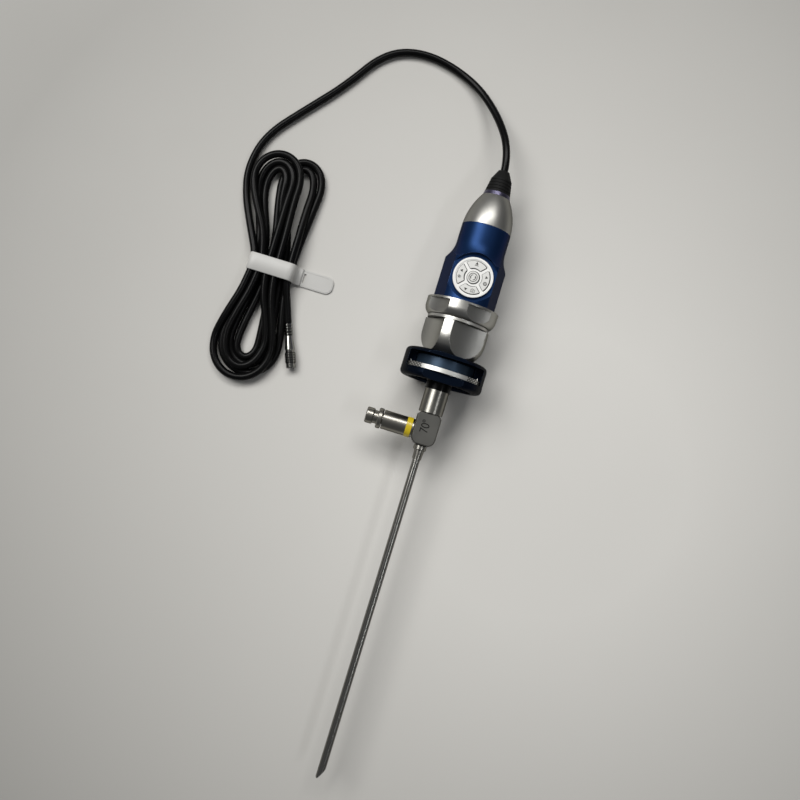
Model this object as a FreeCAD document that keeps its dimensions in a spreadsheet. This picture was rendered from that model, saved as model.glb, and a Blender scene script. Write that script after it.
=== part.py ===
"""Endoscope camera handle with its optical coupler, a rigid viewing scope and a tied hank of cord.

Millimetres. The optical axis runs along Y at axis_height above the table, with the scope's tip
at low Y and the cord's exit at high Y. The keypad faces up (+Z) and the light post points to -X.
The origin is on the clamp's lower flat, straight below the axis, at the middle of the front flange.
"""
import FreeCAD, Part
import math
import operator
import os

import Sketcher

Vector = FreeCAD.Vector

SIZES = {
    # Fits between pieces
    "running_gap": 0.05,        # a ring or cell on the barrel, all round
    "slide_gap": 0.15,          # a plate or button beside its guide
    "seat_gap": 0.3,            # ends of pieces that turn or slide past each other
    # Eyepiece clamp
    "clamp_radius": 22.3,
    "clamp_length": 15.2,
    "clamp_corner": 2.4,
    "clamp_flange": 4.6,
    "clamp_rear_wall": 2.0,
    "clamp_window_side": 19.9,
    "clamp_window_low": 4.2,
    "entry_radius": 16.4,
    "entry_chamfer": 0.9,
    "clamp_rear_bore": 8.2,
    # Latch plate that holds the scope's eyepiece
    "latch_thickness": 2.3,
    "latch_crown": 21.3,
    "latch_side": 19.7,
    "latch_shoulder": 2.7,
    "latch_foot": 17.6,
    "latch_travel": 2.5,
    "latch_pin_side": 18.3,
    "latch_pin_height": 5.4,
    "latch_pin_radius": 0.6,
    "latch_pin_length": 5.2,
    "spring_side": 18.6,
    "spring_radius": 1.0,
    "spring_wire": 0.4,
    "spring_length": 6.0,
    "spring_turns": 6.0,
    # Coupler barrel and its two rings
    "barrel_radius": 10.6,
    "barrel_bore": 8.4,
    "barrel_mouth": 6.5,
    "barrel_flange_radius": 16.6,
    "barrel_flange": 1.5,
    "barrel_flange_front": 30.9,
    "barrel_drum_radius": 14.5,
    "spigot_radius": 10.3,
    "spigot_length": 4.2,
    "window_radius": 7.5,
    "window_thickness": 1.2,
    "focus_ring_radius": 17.45,
    "focus_ring_front_radius": 12.6,
    "focus_ring_bowl": 10.6,
    "focus_scoops": 4,
    "focus_scoop_radius": 40.0,
    "focus_scoop_floor": 12.7,
    "focus_scoop_angle": 27.0,
    "zoom_ring_radius": 19.5,
    "zoom_ring_front_radius": 17.0,
    "zoom_ring_taper": 4.6,
    "zoom_ring_rim": 1.0,
    "zoom_scoops": 5,
    "zoom_scoop_radius": 34.0,
    "zoom_scoop_floor": 17.4,
    "zoom_scoop_angle": 26.5,
    "cell_length": 5.0,
    "cell_bore": 6.6,
    "lens_edge": 1.6,
    "lens_bow": 22.0,
    "focus_cell_front": 17.6,
    "zoom_cell_front": 33.6,
    # Camera head housing
    "housing_front": 41.7,
    "housing_length": 42.3,
    "grip_radius": 16.75,
    "grip_length": 22.6,
    "flare_length": 9.7,
    "rear_radius": 13.4,
    "cavity_radius": 9.8,
    "cavity_front_wall": 0.2,
    "facet_angle": 68.0,
    "facet_half_angle": 24.0,
    # Keypad
    "keypad_station": 55.2,
    "spot_height": 12.0,
    "spot_radius": 12.9,
    "bezel_radius": 10.55,
    "bezel_height": 1.6,
    "bezel_rim": 1.15,
    "bezel_recess": 0.3,
    "key_outer": 8.6,
    "key_inner": 4.9,
    "key_web": 1.0,
    "key_proud": 0.1,
    "key_travel": 0.35,
    "centre_key_radius": 3.1,
    "key_board_radius": 8.8,
    "key_board_thickness": 0.8,
    "key_board_pocket": 1.4,
    "key_wire_hole": 5.0,
    "dome_radius": 1.5,
    "dome_thickness": 0.15,
    "key_nub_radius": 0.8,
    # Electronics inside the housing
    "carrier_front": 50.0,
    "carrier_thickness": 2.0,
    "carrier_bore": 6.0,
    "rail_length": 25.0,
    "rail_width": 2.0,
    "rail_side": 5.5,
    "rail_drop": 3.5,
    "sensor_board_radius": 8.6,
    "board_thickness": 1.0,
    "sensor_width": 9.0,
    "sensor_height": 7.0,
    "sensor_thickness": 1.4,
    "screw_radius": 0.7,
    "screw_head": 1.3,
    "screw_head_height": 0.8,
    "screw_circle": 7.25,
    "main_board_width": 15.0,
    "main_board_length": 22.0,
    "main_board_inset": 1.0,
    "main_screw_inset": 1.9,
    "chip_width": 7.0,
    "chip_length": 8.0,
    "chip_thickness": 1.0,
    "header_width": 8.0,
    "header_length": 4.5,
    "header_height": 4.2,
    # Rear cone, gland and strain relief
    "cone_length": 18.1,
    "cone_end_radius": 7.7,
    "cone_bow": 36.0,
    "cone_wall": 1.7,
    "socket_radius": 10.6,
    "socket_depth": 4.5,
    "cone_spigot": 3.8,
    "seal_groove": 1.2,
    "seal_section": 0.42,
    "gland_length": 2.1,
    "gland_radius": 7.55,
    "relief_root": 4.1,
    "relief_root_length": 3.6,
    "relief_radius": 7.1,
    "relief_taper_length": 7.8,
    "relief_shoulder_radius": 5.7,
    "relief_nose_length": 5.0,
    "relief_end_radius": 3.1,
    "relief_ribs": 4,
    "relief_rib_depth": 0.3,
    # Viewing scope
    "cup_radius": 16.0,
    "cup_front": 4.9,
    "cup_cone_radius": 13.2,
    "cup_chamfer": 0.5,
    "cup_dish_radius": 12.0,
    "cup_dish_depth": 1.0,
    "cup_window_radius": 5.0,
    "cup_neck_radius": 6.9,
    "cup_neck_front": 5.7,
    "cup_neck_length": 4.2,
    "scope_bore": 3.2,
    "neck_radius": 6.5,
    "neck_length": 12.7,
    "block_width": 13.0,
    "block_length": 17.3,
    "block_height": 11.4,
    "block_rear_chamfer": 1.8,
    "block_nose": 4.2,
    "block_nose_width": 7.2,
    "block_edge": 0.5,
    "collar_length": 7.9,
    "collar_radius": 3.4,
    "collar_step": 2.6,
    "collar_end_radius": 2.4,
    "collar_bevel": 0.5,
    "tube_radius": 2.0,
    "tube_wall": 0.25,
    "tube_length": 173.4,
    "tube_root": 2.2,
    "tube_root_radius": 1.8,
    "tip_bevel": 5.4,
    "tip_nose": 0.9,
    "tip_chamfer": 0.3,
    "tip_glass": 6.0,
    "fibre_wall": 0.24,
    "lens_tube_wall": 0.15,
    "rod_lens_spacer": 8.0,
    "rod_lenses": 6,
    # Light post
    "post_station": 28.5,
    "post_bore": 1.8,
    "post_core_radius": 3.0,
    "post_shoulder_radius": 5.0,
    "post_shoulder": 1.0,
    "colour_ring_radius": 5.45,
    "colour_ring_length": 3.0,
    "post_sleeve_radius": 5.15,
    "post_sleeve_length": 12.8,
    "post_collar_radius": 5.5,
    "post_collar_length": 2.6,
    "post_groove_radius": 3.55,
    "post_groove_length": 2.1,
    "post_tip_radius": 4.3,
    "post_tip_length": 4.2,
    "post_glass_radius": 2.4,
    "post_glass_thickness": 1.2,
    # Cord, hank and tie
    "cord_radius": 2.05,
    "hank_height": 8.6,
    "tie_left": -119.4,
    "tie_right": -93.0,
    "tie_front": 28.5,
    "tie_width": 9.6,
    "tie_thickness": 1.0,
    "tie_height": 10.8,
    "tie_corner": 3.6,
    "tie_tail": 21.5,
    "tie_tail_corner": 3.8,
    "tie_slot_inset": 2.6,
    "tie_slot_width": 1.3,
    "tie_slot_length": 5.3,
    # Plug
    "plug_x": -88.9,
    "plug_y": 6.9,
    "plug_turn": 201.2,
    "plug_radius": 3.05,
    "plug_length": 24.9,
    "plug_relief_length": 7.2,
    "plug_relief_radius": 2.25,
    "plug_relief_rings": 4,
    "plug_ring_groove": 0.5,
    "plug_taper_length": 7.6,
    "plug_waist_radius": 1.9,
    "plug_sleeve_length": 6.0,
    "plug_sleeve_travel": 1.2,
    "plug_core_radius": 2.4,
    "plug_nose_radius": 2.58,
    "plug_ridges": 4,
    "plug_ridge_depth": 0.3,
    "plug_contact_radius": 0.25,
    "plug_contact_circle": 1.1,
    "plug_contacts": 6,
}

# The free cord's route from the gland to the tie, chosen by hand: x, y and z
LEAD_ROUTE = [
    (0.0, 117.0, 19.5),
    (-0.6, 128.0, 19.2),
    (-10.5, 147.0, 10.8),
    (-30.5, 167.0, 2.6),
    (-58.0, 175.0, 2.05),
    (-81.8, 168.5, 2.05),
    (-98.5, 143.5, 2.05),
    (-114.0, 125.0, 2.05),
    (-131.5, 104.0, 2.1),
    (-135.5, 86.0, 4.4),
]

# The free end from the tie to the plug
TAIL_ROUTE = [
    (-99.0, 34.0, 5.2),
    (-96.6, 26.5, 4.4),
    (-91.6, 14.4, 3.15),
    (-88.9, 6.9, 3.05),
]

# Points on the hank's outline seen from above, in order round it
HANK_OUTLINE = [
    (-137.5, 84.0),
    (-132.0, 94.5),
    (-120.0, 99.0),
    (-103.0, 98.0),
    (-92.5, 87.0),
    (-91.5, 70.0),
    (-94.8, 50.0),
    (-93.4, 33.4),
    (-93.0, 18.0),
    (-92.4, 6.5),
    (-88.8, -8.0),
    (-91.5, -23.0),
    (-103.0, -31.5),
    (-116.0, -28.0),
    (-126.0, -14.0),
    (-127.0, 4.0),
    (-121.5, 22.0),
    (-118.6, 33.4),
    (-123.5, 50.0),
    (-133.0, 66.0),
]

document = FreeCAD.newDocument("endoscope_camera")
sheet = document.addObject("Spreadsheet::Sheet", "Sizes")
nodes = []


class Formula:
    """A length worked out from the sheet: its text binds objects, its value places first drafts."""

    def __init__(self, text, value):
        self.text = text
        self.value = value

    def __add__(self, other):
        return joined(self, "+", other)

    def __radd__(self, other):
        return joined(other, "+", self)

    def __sub__(self, other):
        return joined(self, "-", other)

    def __rsub__(self, other):
        return joined(other, "-", self)

    def __mul__(self, other):
        return joined(self, "*", other)

    def __rmul__(self, other):
        return joined(other, "*", self)

    def __truediv__(self, other):
        return joined(self, "/", other)

    def __neg__(self):
        return joined(0, "-", self)


OPERATIONS = {"+": operator.add, "-": operator.sub, "*": operator.mul, "/": operator.truediv}


def formula(length):
    """The length as a formula, also where it is a plain number."""
    if isinstance(length, Formula):
        return length
    return Formula(f"({float(length)!r})", float(length))


def joined(first, sign, second):
    """The sum, difference, product or quotient of two lengths."""
    first, second = formula(first), formula(second)
    value = OPERATIONS[sign](first.value, second.value)
    return Formula(f"({first.text} {sign} {second.text})", value)


def root(length):
    return Formula(f"sqrt({length.text})", math.sqrt(length.value))


def sine(angle):
    return Formula(f"sin({angle.text} * 1 deg)", math.sin(math.radians(angle.value)))


def cosine(angle):
    return Formula(f"cos({angle.text} * 1 deg)", math.cos(math.radians(angle.value)))


def chord_half(radius, offset):
    """Half the chord that a circle of this radius has at this distance from its centre."""
    return root(radius * radius - offset * offset)


def tangent_radius(across, along):
    """Radius of the arc that starts parallel to the axis and moves across while it runs along."""
    return (across * across + along * along) / (2 * across)


class Sheet:
    """The driving dimensions, one attribute each."""


def fill_sheet():
    """Writes the driving dimensions into the sheet's cells and returns them as formulas."""
    sizes = Sheet()
    for row, (name, value) in enumerate(SIZES.items(), start=1):
        sheet.set(f"A{row}", name)
        sheet.set(f"B{row}", str(value))
        sheet.setAlias(f"B{row}", name)
        setattr(sizes, name, Formula(f"Sizes.{name}", float(value)))
    document.recompute()
    return sizes


S = fill_sheet()

# Stations along the optical axis, and the heights of the axis and the keypad
AXIS = S.zoom_ring_radius
CLAMP_FRONT = -S.clamp_flange / 2
CLAMP_BACK = CLAMP_FRONT + S.clamp_length
PLATE_FRONT = -CLAMP_FRONT + 0.1
PLATE_BACK = PLATE_FRONT + S.latch_thickness
CHAMBER_BACK = CLAMP_BACK - S.clamp_rear_wall
FLANGE_BACK = S.barrel_flange_front + S.barrel_flange
FOCUS_FRONT = CLAMP_BACK + S.seat_gap
FOCUS_BACK = S.barrel_flange_front - S.seat_gap
ZOOM_FRONT = FLANGE_BACK + S.seat_gap
ZOOM_BACK = S.housing_front - S.seat_gap
SPIGOT_BACK = S.housing_front + S.spigot_length
HOUSING_BACK = S.housing_front + S.housing_length
CONE_BACK = HOUSING_BACK + S.cone_length
GLAND_BACK = CONE_BACK + S.gland_length
RELIEF_BACK = GLAND_BACK + S.relief_taper_length + S.relief_nose_length
CUP_BACK = CHAMBER_BACK - S.seat_gap
NECK_BACK = -S.cup_neck_front
NECK_FRONT = NECK_BACK - S.neck_length
BLOCK_FRONT = NECK_FRONT - S.block_length
COLLAR_FRONT = BLOCK_FRONT - S.collar_length
TIP = COLLAR_FRONT - S.tube_length
BEZEL_TOP = S.bezel_height


def bind(thing, path, length):
    """Ties one of a thing's lengths to the sheet."""
    thing.setExpression(path, formula(length).text)


def move(thing, x=0, y=0, z=0):
    """Places a thing at a point that is worked out from the sheet."""
    bind(thing, "Placement.Base.x", x)
    bind(thing, "Placement.Base.y", y)
    bind(thing, "Placement.Base.z", z)
    return thing


def turn(thing, axis, angle):
    """Turns a thing about one of the main axes through its own origin."""
    thing.Placement = FreeCAD.Placement(Vector(), FreeCAD.Rotation(Vector(*axis), angle))
    return thing


def node(thing, label, x=0, y=0, z=AXIS):
    """Keeps a finished piece under its own name, in its place in the part's frame."""
    thing.Label = label
    nodes.append(move(thing, x, y, z))
    return thing


def new_body(name):
    return document.addObject("PartDesign::Body", name)


def sketch_on(body, role, name, height=None):
    """A sketch on one of the body's own planes, or at a height along that plane's normal."""
    sketch = body.newObject("Sketcher::SketchObject", name)
    plane = next(item for item in body.Origin.OriginFeatures if item.Role == role)
    sketch.AttachmentSupport = (plane, "")
    sketch.MapMode = "FlatFace"
    if height is not None:
        bind(sketch, "AttachmentOffset.Base.z", height)
    return sketch


def fix(sketch, kind, places, length):
    """Adds one dimension to a sketch and ties it to the sheet."""
    length = formula(length)
    number = sketch.addConstraint(Sketcher.Constraint(kind, *places, length.value))
    sketch.setExpression(f"Constraints[{number}]", length.text)


def edge_between(sketch, start, end, bow):
    """Draws a line, or an arc that turns left where bow is above 0 and right where it is below."""
    a, b = Vector(*start, 0), Vector(*end, 0)
    if not bow:
        return sketch.addGeometry(Part.LineSegment(a, b), False), 1, 2
    along = b - a
    left = Vector(-along.y, along.x, 0).normalize()
    rise = math.sqrt(bow * bow - along.Length ** 2 / 4)
    centre = (a + b) / 2 + left * math.copysign(rise, bow)
    first, last = (a, b) if bow > 0 else (b, a)
    angles = [math.atan2(point.y - centre.y, point.x - centre.x) for point in (first, last)]
    circle = Part.Circle(centre, Vector(0, 0, 1), abs(bow))
    arc = sketch.addGeometry(Part.ArcOfCircle(circle, *angles), False)
    return (arc, 1, 2) if bow > 0 else (arc, 2, 1)


def outline(sketch, corners):
    """Draws a closed outline; a corner's third entry is the radius of the arc that leaves it."""
    spots = [(formula(corner[0]), formula(corner[1])) for corner in corners]
    bows = [formula(corner[2]) if len(corner) > 2 else None for corner in corners]
    values = [(x.value, y.value) for x, y in spots]
    edges = []
    for number, bow in enumerate(bows):
        following = values[(number + 1) % len(values)]
        edges.append(edge_between(sketch, values[number], following, bow.value if bow else 0))
    for number, (edge, _, end) in enumerate(edges):
        following, start, _ = edges[(number + 1) % len(edges)]
        sketch.addConstraint(Sketcher.Constraint("Coincident", edge, end, following, start))
    for (edge, start, _), (x, y), bow in zip(edges, spots, bows):
        fix(sketch, "DistanceX", (-1, 1, edge, start), x)
        fix(sketch, "DistanceY", (-1, 1, edge, start), y)
        if bow:
            positive = bow if bow.value > 0 else -bow
            fix(sketch, "Radius", (edge,), positive)


def circle(sketch, x, y, radius):
    """Draws a circle in a sketch."""
    x, y, radius = formula(x), formula(y), formula(radius)
    ring = Part.Circle(Vector(x.value, y.value, 0), Vector(0, 0, 1), radius.value)
    edge = sketch.addGeometry(ring, False)
    fix(sketch, "DistanceX", (-1, 1, edge, 3), x)
    fix(sketch, "DistanceY", (-1, 1, edge, 3), y)
    fix(sketch, "Radius", (edge,), radius)


def turned(name, corners):
    """A body turned about the Y axis from a profile of radius and station."""
    body = new_body(name)
    profile = sketch_on(body, "XY_Plane", name + "_profile")
    outline(profile, corners)
    revolution = body.newObject("PartDesign::Revolution", name + "_turn")
    revolution.Profile = profile
    revolution.ReferenceAxis = (profile, ["V_Axis"])
    revolution.Angle = 360
    return body


def padded(name, role, corners, length, both_ways=True):
    """A body padded from an outline on one of the main planes."""
    body = new_body(name)
    profile = sketch_on(body, role, name + "_profile")
    outline(profile, corners)
    pad = body.newObject("PartDesign::Pad", name + "_pad")
    pad.Profile = profile
    pad.Midplane = both_ways
    bind(pad, "Length", length)
    return body


def pocket(body, profile, name, depth, reversed_way=False):
    """Cuts a sketch's outline out of its body."""
    cut_out = body.newObject("PartDesign::Pocket", name)
    cut_out.Profile = profile
    cut_out.Reversed = reversed_way
    bind(cut_out, "Length", depth)
    return cut_out


def round_pattern(body, feature, axis_sketch, name, count):
    """Repeats a feature evenly round the sketch's normal."""
    pattern = body.newObject("PartDesign::PolarPattern", name)
    pattern.Originals = [feature]
    pattern.Axis = (axis_sketch, ["N_Axis"])
    pattern.Angle = 360
    bind(pattern, "Occurrences", count)
    body.Tip = pattern
    return pattern


def box(name, x, y, z, length, width, height):
    """A box from its low corner and its three sizes."""
    thing = document.addObject("Part::Box", name)
    bind(thing, "Length", length)
    bind(thing, "Width", width)
    bind(thing, "Height", height)
    return move(thing, x, y, z)


def upright(name, radius, x, y, z, height):
    """A cylinder that stands along Z."""
    thing = document.addObject("Part::Cylinder", name)
    bind(thing, "Radius", radius)
    bind(thing, "Height", height)
    return move(thing, x, y, z)


def along_axis(name, radius, x, y, z, length):
    """A cylinder that lies along Y, from the station y on."""
    thing = document.addObject("Part::Cylinder", name)
    turn(thing, (1, 0, 0), -90)
    bind(thing, "Radius", radius)
    bind(thing, "Height", length)
    return move(thing, x, y, z)


def across_axis(name, radius, x, y, z, length):
    """A cylinder that lies along X, from the point x on."""
    thing = document.addObject("Part::Cylinder", name)
    turn(thing, (0, 1, 0), 90)
    bind(thing, "Radius", radius)
    bind(thing, "Height", length)
    return move(thing, x, y, z)


def fused(name, pieces):
    thing = document.addObject("Part::MultiFuse", name)
    thing.Shapes = pieces
    return thing


def cut(name, base, tools):
    """The base less one tool, or less several fused into one."""
    thing = document.addObject("Part::Cut", name)
    thing.Base = base
    thing.Tool = tools[0] if len(tools) == 1 else fused(name + "_tools", tools)
    return thing


def grouped(name, pieces):
    """Separate solids kept as one piece."""
    thing = document.addObject("Part::Compound", name)
    thing.Links = pieces
    return thing


def disc(name, radius, front, thickness):
    """A plain round disc or rod on the optical axis."""
    return turned(name, [(0, front), (radius, front), (radius, front + thickness),
                         (0, front + thickness)])


def pipe(name, bore, radius, front, back):
    """A plain round tube on the optical axis."""
    return turned(name, [(bore, front), (radius, front), (radius, back), (bore, back)])


# Eyepiece clamp


def clamp_housing():
    """The round clamp body: front flange, rear wall, a window on top and flats above and below."""
    radius, corner = S.clamp_radius, S.clamp_corner
    blank = turned("clamp_blank", [
        (S.entry_radius + S.entry_chamfer, CLAMP_FRONT),
        (radius - corner, CLAMP_FRONT, corner),
        (radius, CLAMP_FRONT + corner),
        (radius, CLAMP_BACK - corner, corner),
        (radius - corner, CLAMP_BACK),
        (S.clamp_rear_bore, CLAMP_BACK),
        (S.clamp_rear_bore, CHAMBER_BACK),
        (S.entry_radius, CHAMBER_BACK),
        (S.entry_radius, CLAMP_FRONT + S.entry_chamfer),
    ])
    reach = 2 * radius
    gap = S.slide_gap
    slot_front = PLATE_FRONT - gap
    slot_length = S.latch_thickness + 2 * gap
    shoulder_low = -(S.latch_shoulder + S.latch_travel + gap)
    foot = S.latch_foot + 2 * gap
    tools = [
        box("clamp_top_flat", -radius, CLAMP_FRONT - 1, AXIS, reach, S.clamp_length + 2, radius),
        box("clamp_low_flat", -radius, CLAMP_FRONT - 1, -AXIS - radius, reach,
            S.clamp_length + 2, radius),
        box("clamp_window", -S.clamp_window_side, slot_front, S.clamp_window_low,
            2 * S.clamp_window_side, CHAMBER_BACK - slot_front, radius),
        box("latch_slot", -(S.latch_side + gap), slot_front, shoulder_low,
            2 * (S.latch_side + gap), slot_length, radius - shoulder_low),
        along_axis("latch_foot_slot", foot, 0, slot_front, 0, slot_length),
        along_axis("latch_foot_rise", foot, 0, slot_front, S.latch_travel, slot_length),
    ]
    pocket_low = -(S.latch_shoulder + S.spring_length)
    for side in (-1, 1):
        tools.append(upright(f"spring_pocket_{'left' if side < 0 else 'right'}",
                             S.spring_radius + S.spring_wire, side * S.spring_side,
                             PLATE_FRONT + S.latch_thickness / 2, pocket_low, S.spring_length))
    for side in (-1, 1):
        tools.append(along_axis(f"pin_hole_{'left' if side < 0 else 'right'}",
                                S.latch_pin_radius, side * S.latch_pin_side, pin_front(),
                                S.latch_pin_height, PLATE_FRONT - pin_front()))
    node(cut("clamp_housing_cut", blank, tools), "clamp_housing")


def pin_front():
    """Where the latch pins start, inside the front flange."""
    return PLATE_BACK + 1.4 - S.latch_pin_length


def latch_plate():
    """The sprung plate behind the front flange; its hole sits high until it is pressed down."""
    side, shoulder, travel = S.latch_side, -S.latch_shoulder, S.latch_travel
    crown_end = chord_half(S.latch_crown, side)
    foot_end = chord_half(S.latch_foot, S.latch_shoulder + travel)
    plate = padded("latch_blank", "XZ_Plane", [
        (-side, shoulder),
        (-foot_end, shoulder, S.latch_foot),
        (foot_end, shoulder),
        (side, shoulder),
        (side, crown_end, S.latch_crown),
        (-side, crown_end),
    ], S.latch_thickness)
    lower = along_axis("latch_foot_disc", S.latch_foot, 0, -S.latch_thickness / 2, travel,
                       S.latch_thickness)
    blank = fused("latch_outline", [plate, lower])
    tools = [along_axis("latch_hole", S.entry_radius, 0, -S.latch_thickness, travel,
                        2 * S.latch_thickness)]
    slot = S.latch_pin_radius + S.slide_gap
    for side in (-1, 1):
        tools.append(box(f"pin_slot_{'left' if side < 0 else 'right'}",
                         side * S.latch_pin_side - slot, -S.latch_thickness,
                         S.latch_pin_height - slot, 2 * slot, 2 * S.latch_thickness,
                         2 * slot + travel))
    node(cut("latch_plate_cut", blank, tools), "latch_plate", y=PLATE_FRONT + S.latch_thickness / 2)


def latch_pins():
    """Two pins in the front flange that stop the plate's rise."""
    pins = [along_axis(f"latch_pin_{number}", S.latch_pin_radius, side * S.latch_pin_side,
                       pin_front(), S.latch_pin_height, S.latch_pin_length)
            for number, side in enumerate((-1, 1), start=1)]
    node(grouped("latch_pin_pair", pins), "latch_pins")


def spring_shape():
    """One coil spring along Z, from its foot at the origin."""
    wire = S.spring_wire.value / 2
    radius = S.spring_radius.value
    length = S.spring_length.value - 2 * wire
    path = Part.Wire(Part.makeHelix(length / S.spring_turns.value, length, radius))
    section = Part.Wire(Part.makeCircle(wire, Vector(radius, 0, 0), Vector(0, 1, 0)))
    coil = path.makePipeShell([section], True, True)
    coil.translate(Vector(0, 0, wire))
    return coil


def latch_springs():
    """The two springs under the latch plate's shoulders."""
    middle = (PLATE_FRONT + S.latch_thickness / 2).value
    low = -(S.latch_shoulder + S.spring_length).value
    coils = []
    for side in (-1, 1):
        coil = spring_shape()
        coil.translate(Vector(side * S.spring_side.value, middle, low))
        coils.append(coil)
    springs = document.addObject("Part::Feature", "latch_spring_pair")
    springs.Shape = Part.makeCompound(coils)
    node(springs, "latch_springs")


# Coupler barrel, its rings and lenses


def coupler_barrel():
    """The fixed barrel that carries both rings and plugs into the housing."""
    window_seat = CLAMP_BACK + S.window_thickness
    mouth_back = window_seat + 1
    node(turned("barrel_body", [
        (S.window_radius + S.running_gap, CLAMP_BACK),
        (S.barrel_radius, CLAMP_BACK),
        (S.barrel_radius, S.barrel_flange_front),
        (S.barrel_flange_radius, S.barrel_flange_front),
        (S.barrel_flange_radius, FLANGE_BACK),
        (S.barrel_drum_radius, FLANGE_BACK),
        (S.barrel_drum_radius, S.housing_front),
        (S.spigot_radius, S.housing_front),
        (S.spigot_radius, SPIGOT_BACK),
        (S.barrel_bore, SPIGOT_BACK),
        (S.barrel_bore, mouth_back),
        (S.barrel_mouth, mouth_back),
        (S.barrel_mouth, window_seat),
        (S.window_radius + S.running_gap, window_seat),
    ]), "coupler_barrel")
    node(disc("coupler_window_disc", S.window_radius, CLAMP_BACK, S.window_thickness),
         "coupler_window")


def scoop(body, name, front, length, floor, radius, angle, count):
    """Finger scoops round a ring: one hollow cut along the axis, repeated."""
    profile = sketch_on(body, "XZ_Plane", name + "_outline", -front)
    centre = floor + radius
    circle(profile, centre * sine(angle), centre * cosine(angle), radius)
    hollow = pocket(body, profile, name, length)
    round_pattern(body, hollow, profile, name + "_pattern", count)


def focus_ring():
    """The front ring: a bowl with deep scoops that leave four broad petals between them."""
    body = turned("focus_ring_body", [
        (S.barrel_radius + S.running_gap, FOCUS_FRONT),
        (S.focus_ring_front_radius, FOCUS_FRONT,
         tangent_radius(S.focus_ring_radius - S.focus_ring_front_radius, S.focus_ring_bowl)),
        (S.focus_ring_radius, FOCUS_FRONT + S.focus_ring_bowl),
        (S.focus_ring_radius, FOCUS_BACK),
        (S.barrel_radius + S.running_gap, FOCUS_BACK),
    ])
    scoop(body, "focus_scoop", FOCUS_FRONT, FOCUS_BACK - FOCUS_FRONT, S.focus_scoop_floor,
          S.focus_scoop_radius, S.focus_scoop_angle, S.focus_scoops)
    node(body, "focus_ring")


def zoom_ring():
    """The rear ring: a thin rim behind five shallow scoops, tapering to the front."""
    body = turned("zoom_ring_body", [
        (S.barrel_drum_radius + S.running_gap, ZOOM_FRONT),
        (S.zoom_ring_front_radius, ZOOM_FRONT,
         tangent_radius(S.zoom_ring_radius - S.zoom_ring_front_radius, S.zoom_ring_taper)),
        (S.zoom_ring_radius, ZOOM_FRONT + S.zoom_ring_taper),
        (S.zoom_ring_radius, ZOOM_BACK),
        (S.barrel_drum_radius + S.running_gap, ZOOM_BACK),
    ])
    scoop(body, "zoom_scoop", ZOOM_FRONT, ZOOM_BACK - S.zoom_ring_rim - ZOOM_FRONT,
          S.zoom_scoop_floor, S.zoom_scoop_radius, S.zoom_scoop_angle, S.zoom_scoops)
    node(body, "zoom_ring")


def lens(name, front):
    """A double convex lens on the axis, with its edge's front face at the station."""
    radius = S.cell_bore - S.running_gap
    sag = S.lens_bow - chord_half(S.lens_bow, radius)
    back = front + S.lens_edge
    return turned(name, [
        (0, front - sag, S.lens_bow),
        (radius, front),
        (radius, back, S.lens_bow),
        (0, back + sag),
    ])


def sliding_cell(name, front):
    """A lens in its sliding cell inside the barrel."""
    lens_front = front + (S.cell_length - S.lens_edge) / 2
    node(pipe(name + "_cell_ring", S.cell_bore, S.barrel_bore - S.running_gap, front,
              front + S.cell_length), name + "_cell")
    node(lens(name + "_lens_glass", lens_front), name + "_lens")


# Camera head


def housing():
    """The blue grip: turned shell, two long side facets and a round flat for the keypad."""
    front, gap = S.housing_front, S.running_gap
    cavity_front = SPIGOT_BACK + S.cavity_front_wall
    corner = front + S.grip_length
    body = turned("housing_body", [
        (S.spigot_radius + gap, front),
        (S.grip_radius, front),
        (S.grip_radius, corner,
         -tangent_radius(S.grip_radius - S.rear_radius, S.flare_length)),
        (S.rear_radius, corner + S.flare_length),
        (S.rear_radius, HOUSING_BACK),
        (S.socket_radius, HOUSING_BACK),
        (S.socket_radius, HOUSING_BACK - S.socket_depth),
        (S.cavity_radius, HOUSING_BACK - S.socket_depth),
        (S.cavity_radius, cavity_front),
        (S.spigot_radius + gap, cavity_front),
    ])
    facets = sketch_on(body, "XZ_Plane", "facet_outline", -front)
    inner = S.grip_radius * cosine(S.facet_half_angle)
    outer = inner + S.grip_radius
    reach = S.grip_radius
    for side in (1, -1):
        corners = []
        for depth, slide in ((inner, -reach), (inner, reach), (outer, reach), (outer, -reach)):
            x = depth * sine(S.facet_angle) + slide * cosine(S.facet_angle)
            z = depth * cosine(S.facet_angle) - slide * sine(S.facet_angle)
            corners.append((side * x, z))
        outline(facets, corners)
    pocket(body, facets, "facets", S.housing_length)
    spot = sketch_on(body, "XY_Plane", "spot_outline", S.spot_height)
    circle(spot, 0, S.keypad_station, S.spot_radius)
    pocket(body, spot, "keypad_flat", S.grip_radius, True)
    seat = sketch_on(body, "XY_Plane", "board_pocket_outline", S.spot_height)
    circle(seat, 0, S.keypad_station, S.key_board_radius + S.slide_gap)
    pocket(body, seat, "board_pocket", S.key_board_pocket)
    wires = sketch_on(body, "XY_Plane", "wire_hole_outline", S.spot_height)
    circle(wires, 0, S.keypad_station, S.key_wire_hole)
    pocket(body, wires, "wire_hole", S.spot_height - S.cavity_radius / 2)
    node(body, "housing")


def key_outline(gap):
    """A curved key's outline about the keypad's centre, grown by a gap all round."""
    corners = []
    for radius in (S.key_outer + gap, S.key_inner - gap):
        across = S.key_web - gap
        half = root(radius * radius - across * across)
        diagonal = math.sqrt(0.5)
        corners.append(((half - across) * diagonal, (half + across) * diagonal))
    (outer_x, outer_y), (inner_x, inner_y) = corners
    return [
        (-inner_x, inner_y, -(S.key_inner - gap)),
        (inner_x, inner_y),
        (outer_x, outer_y, S.key_outer + gap),
        (-outer_x, outer_y),
    ]


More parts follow.
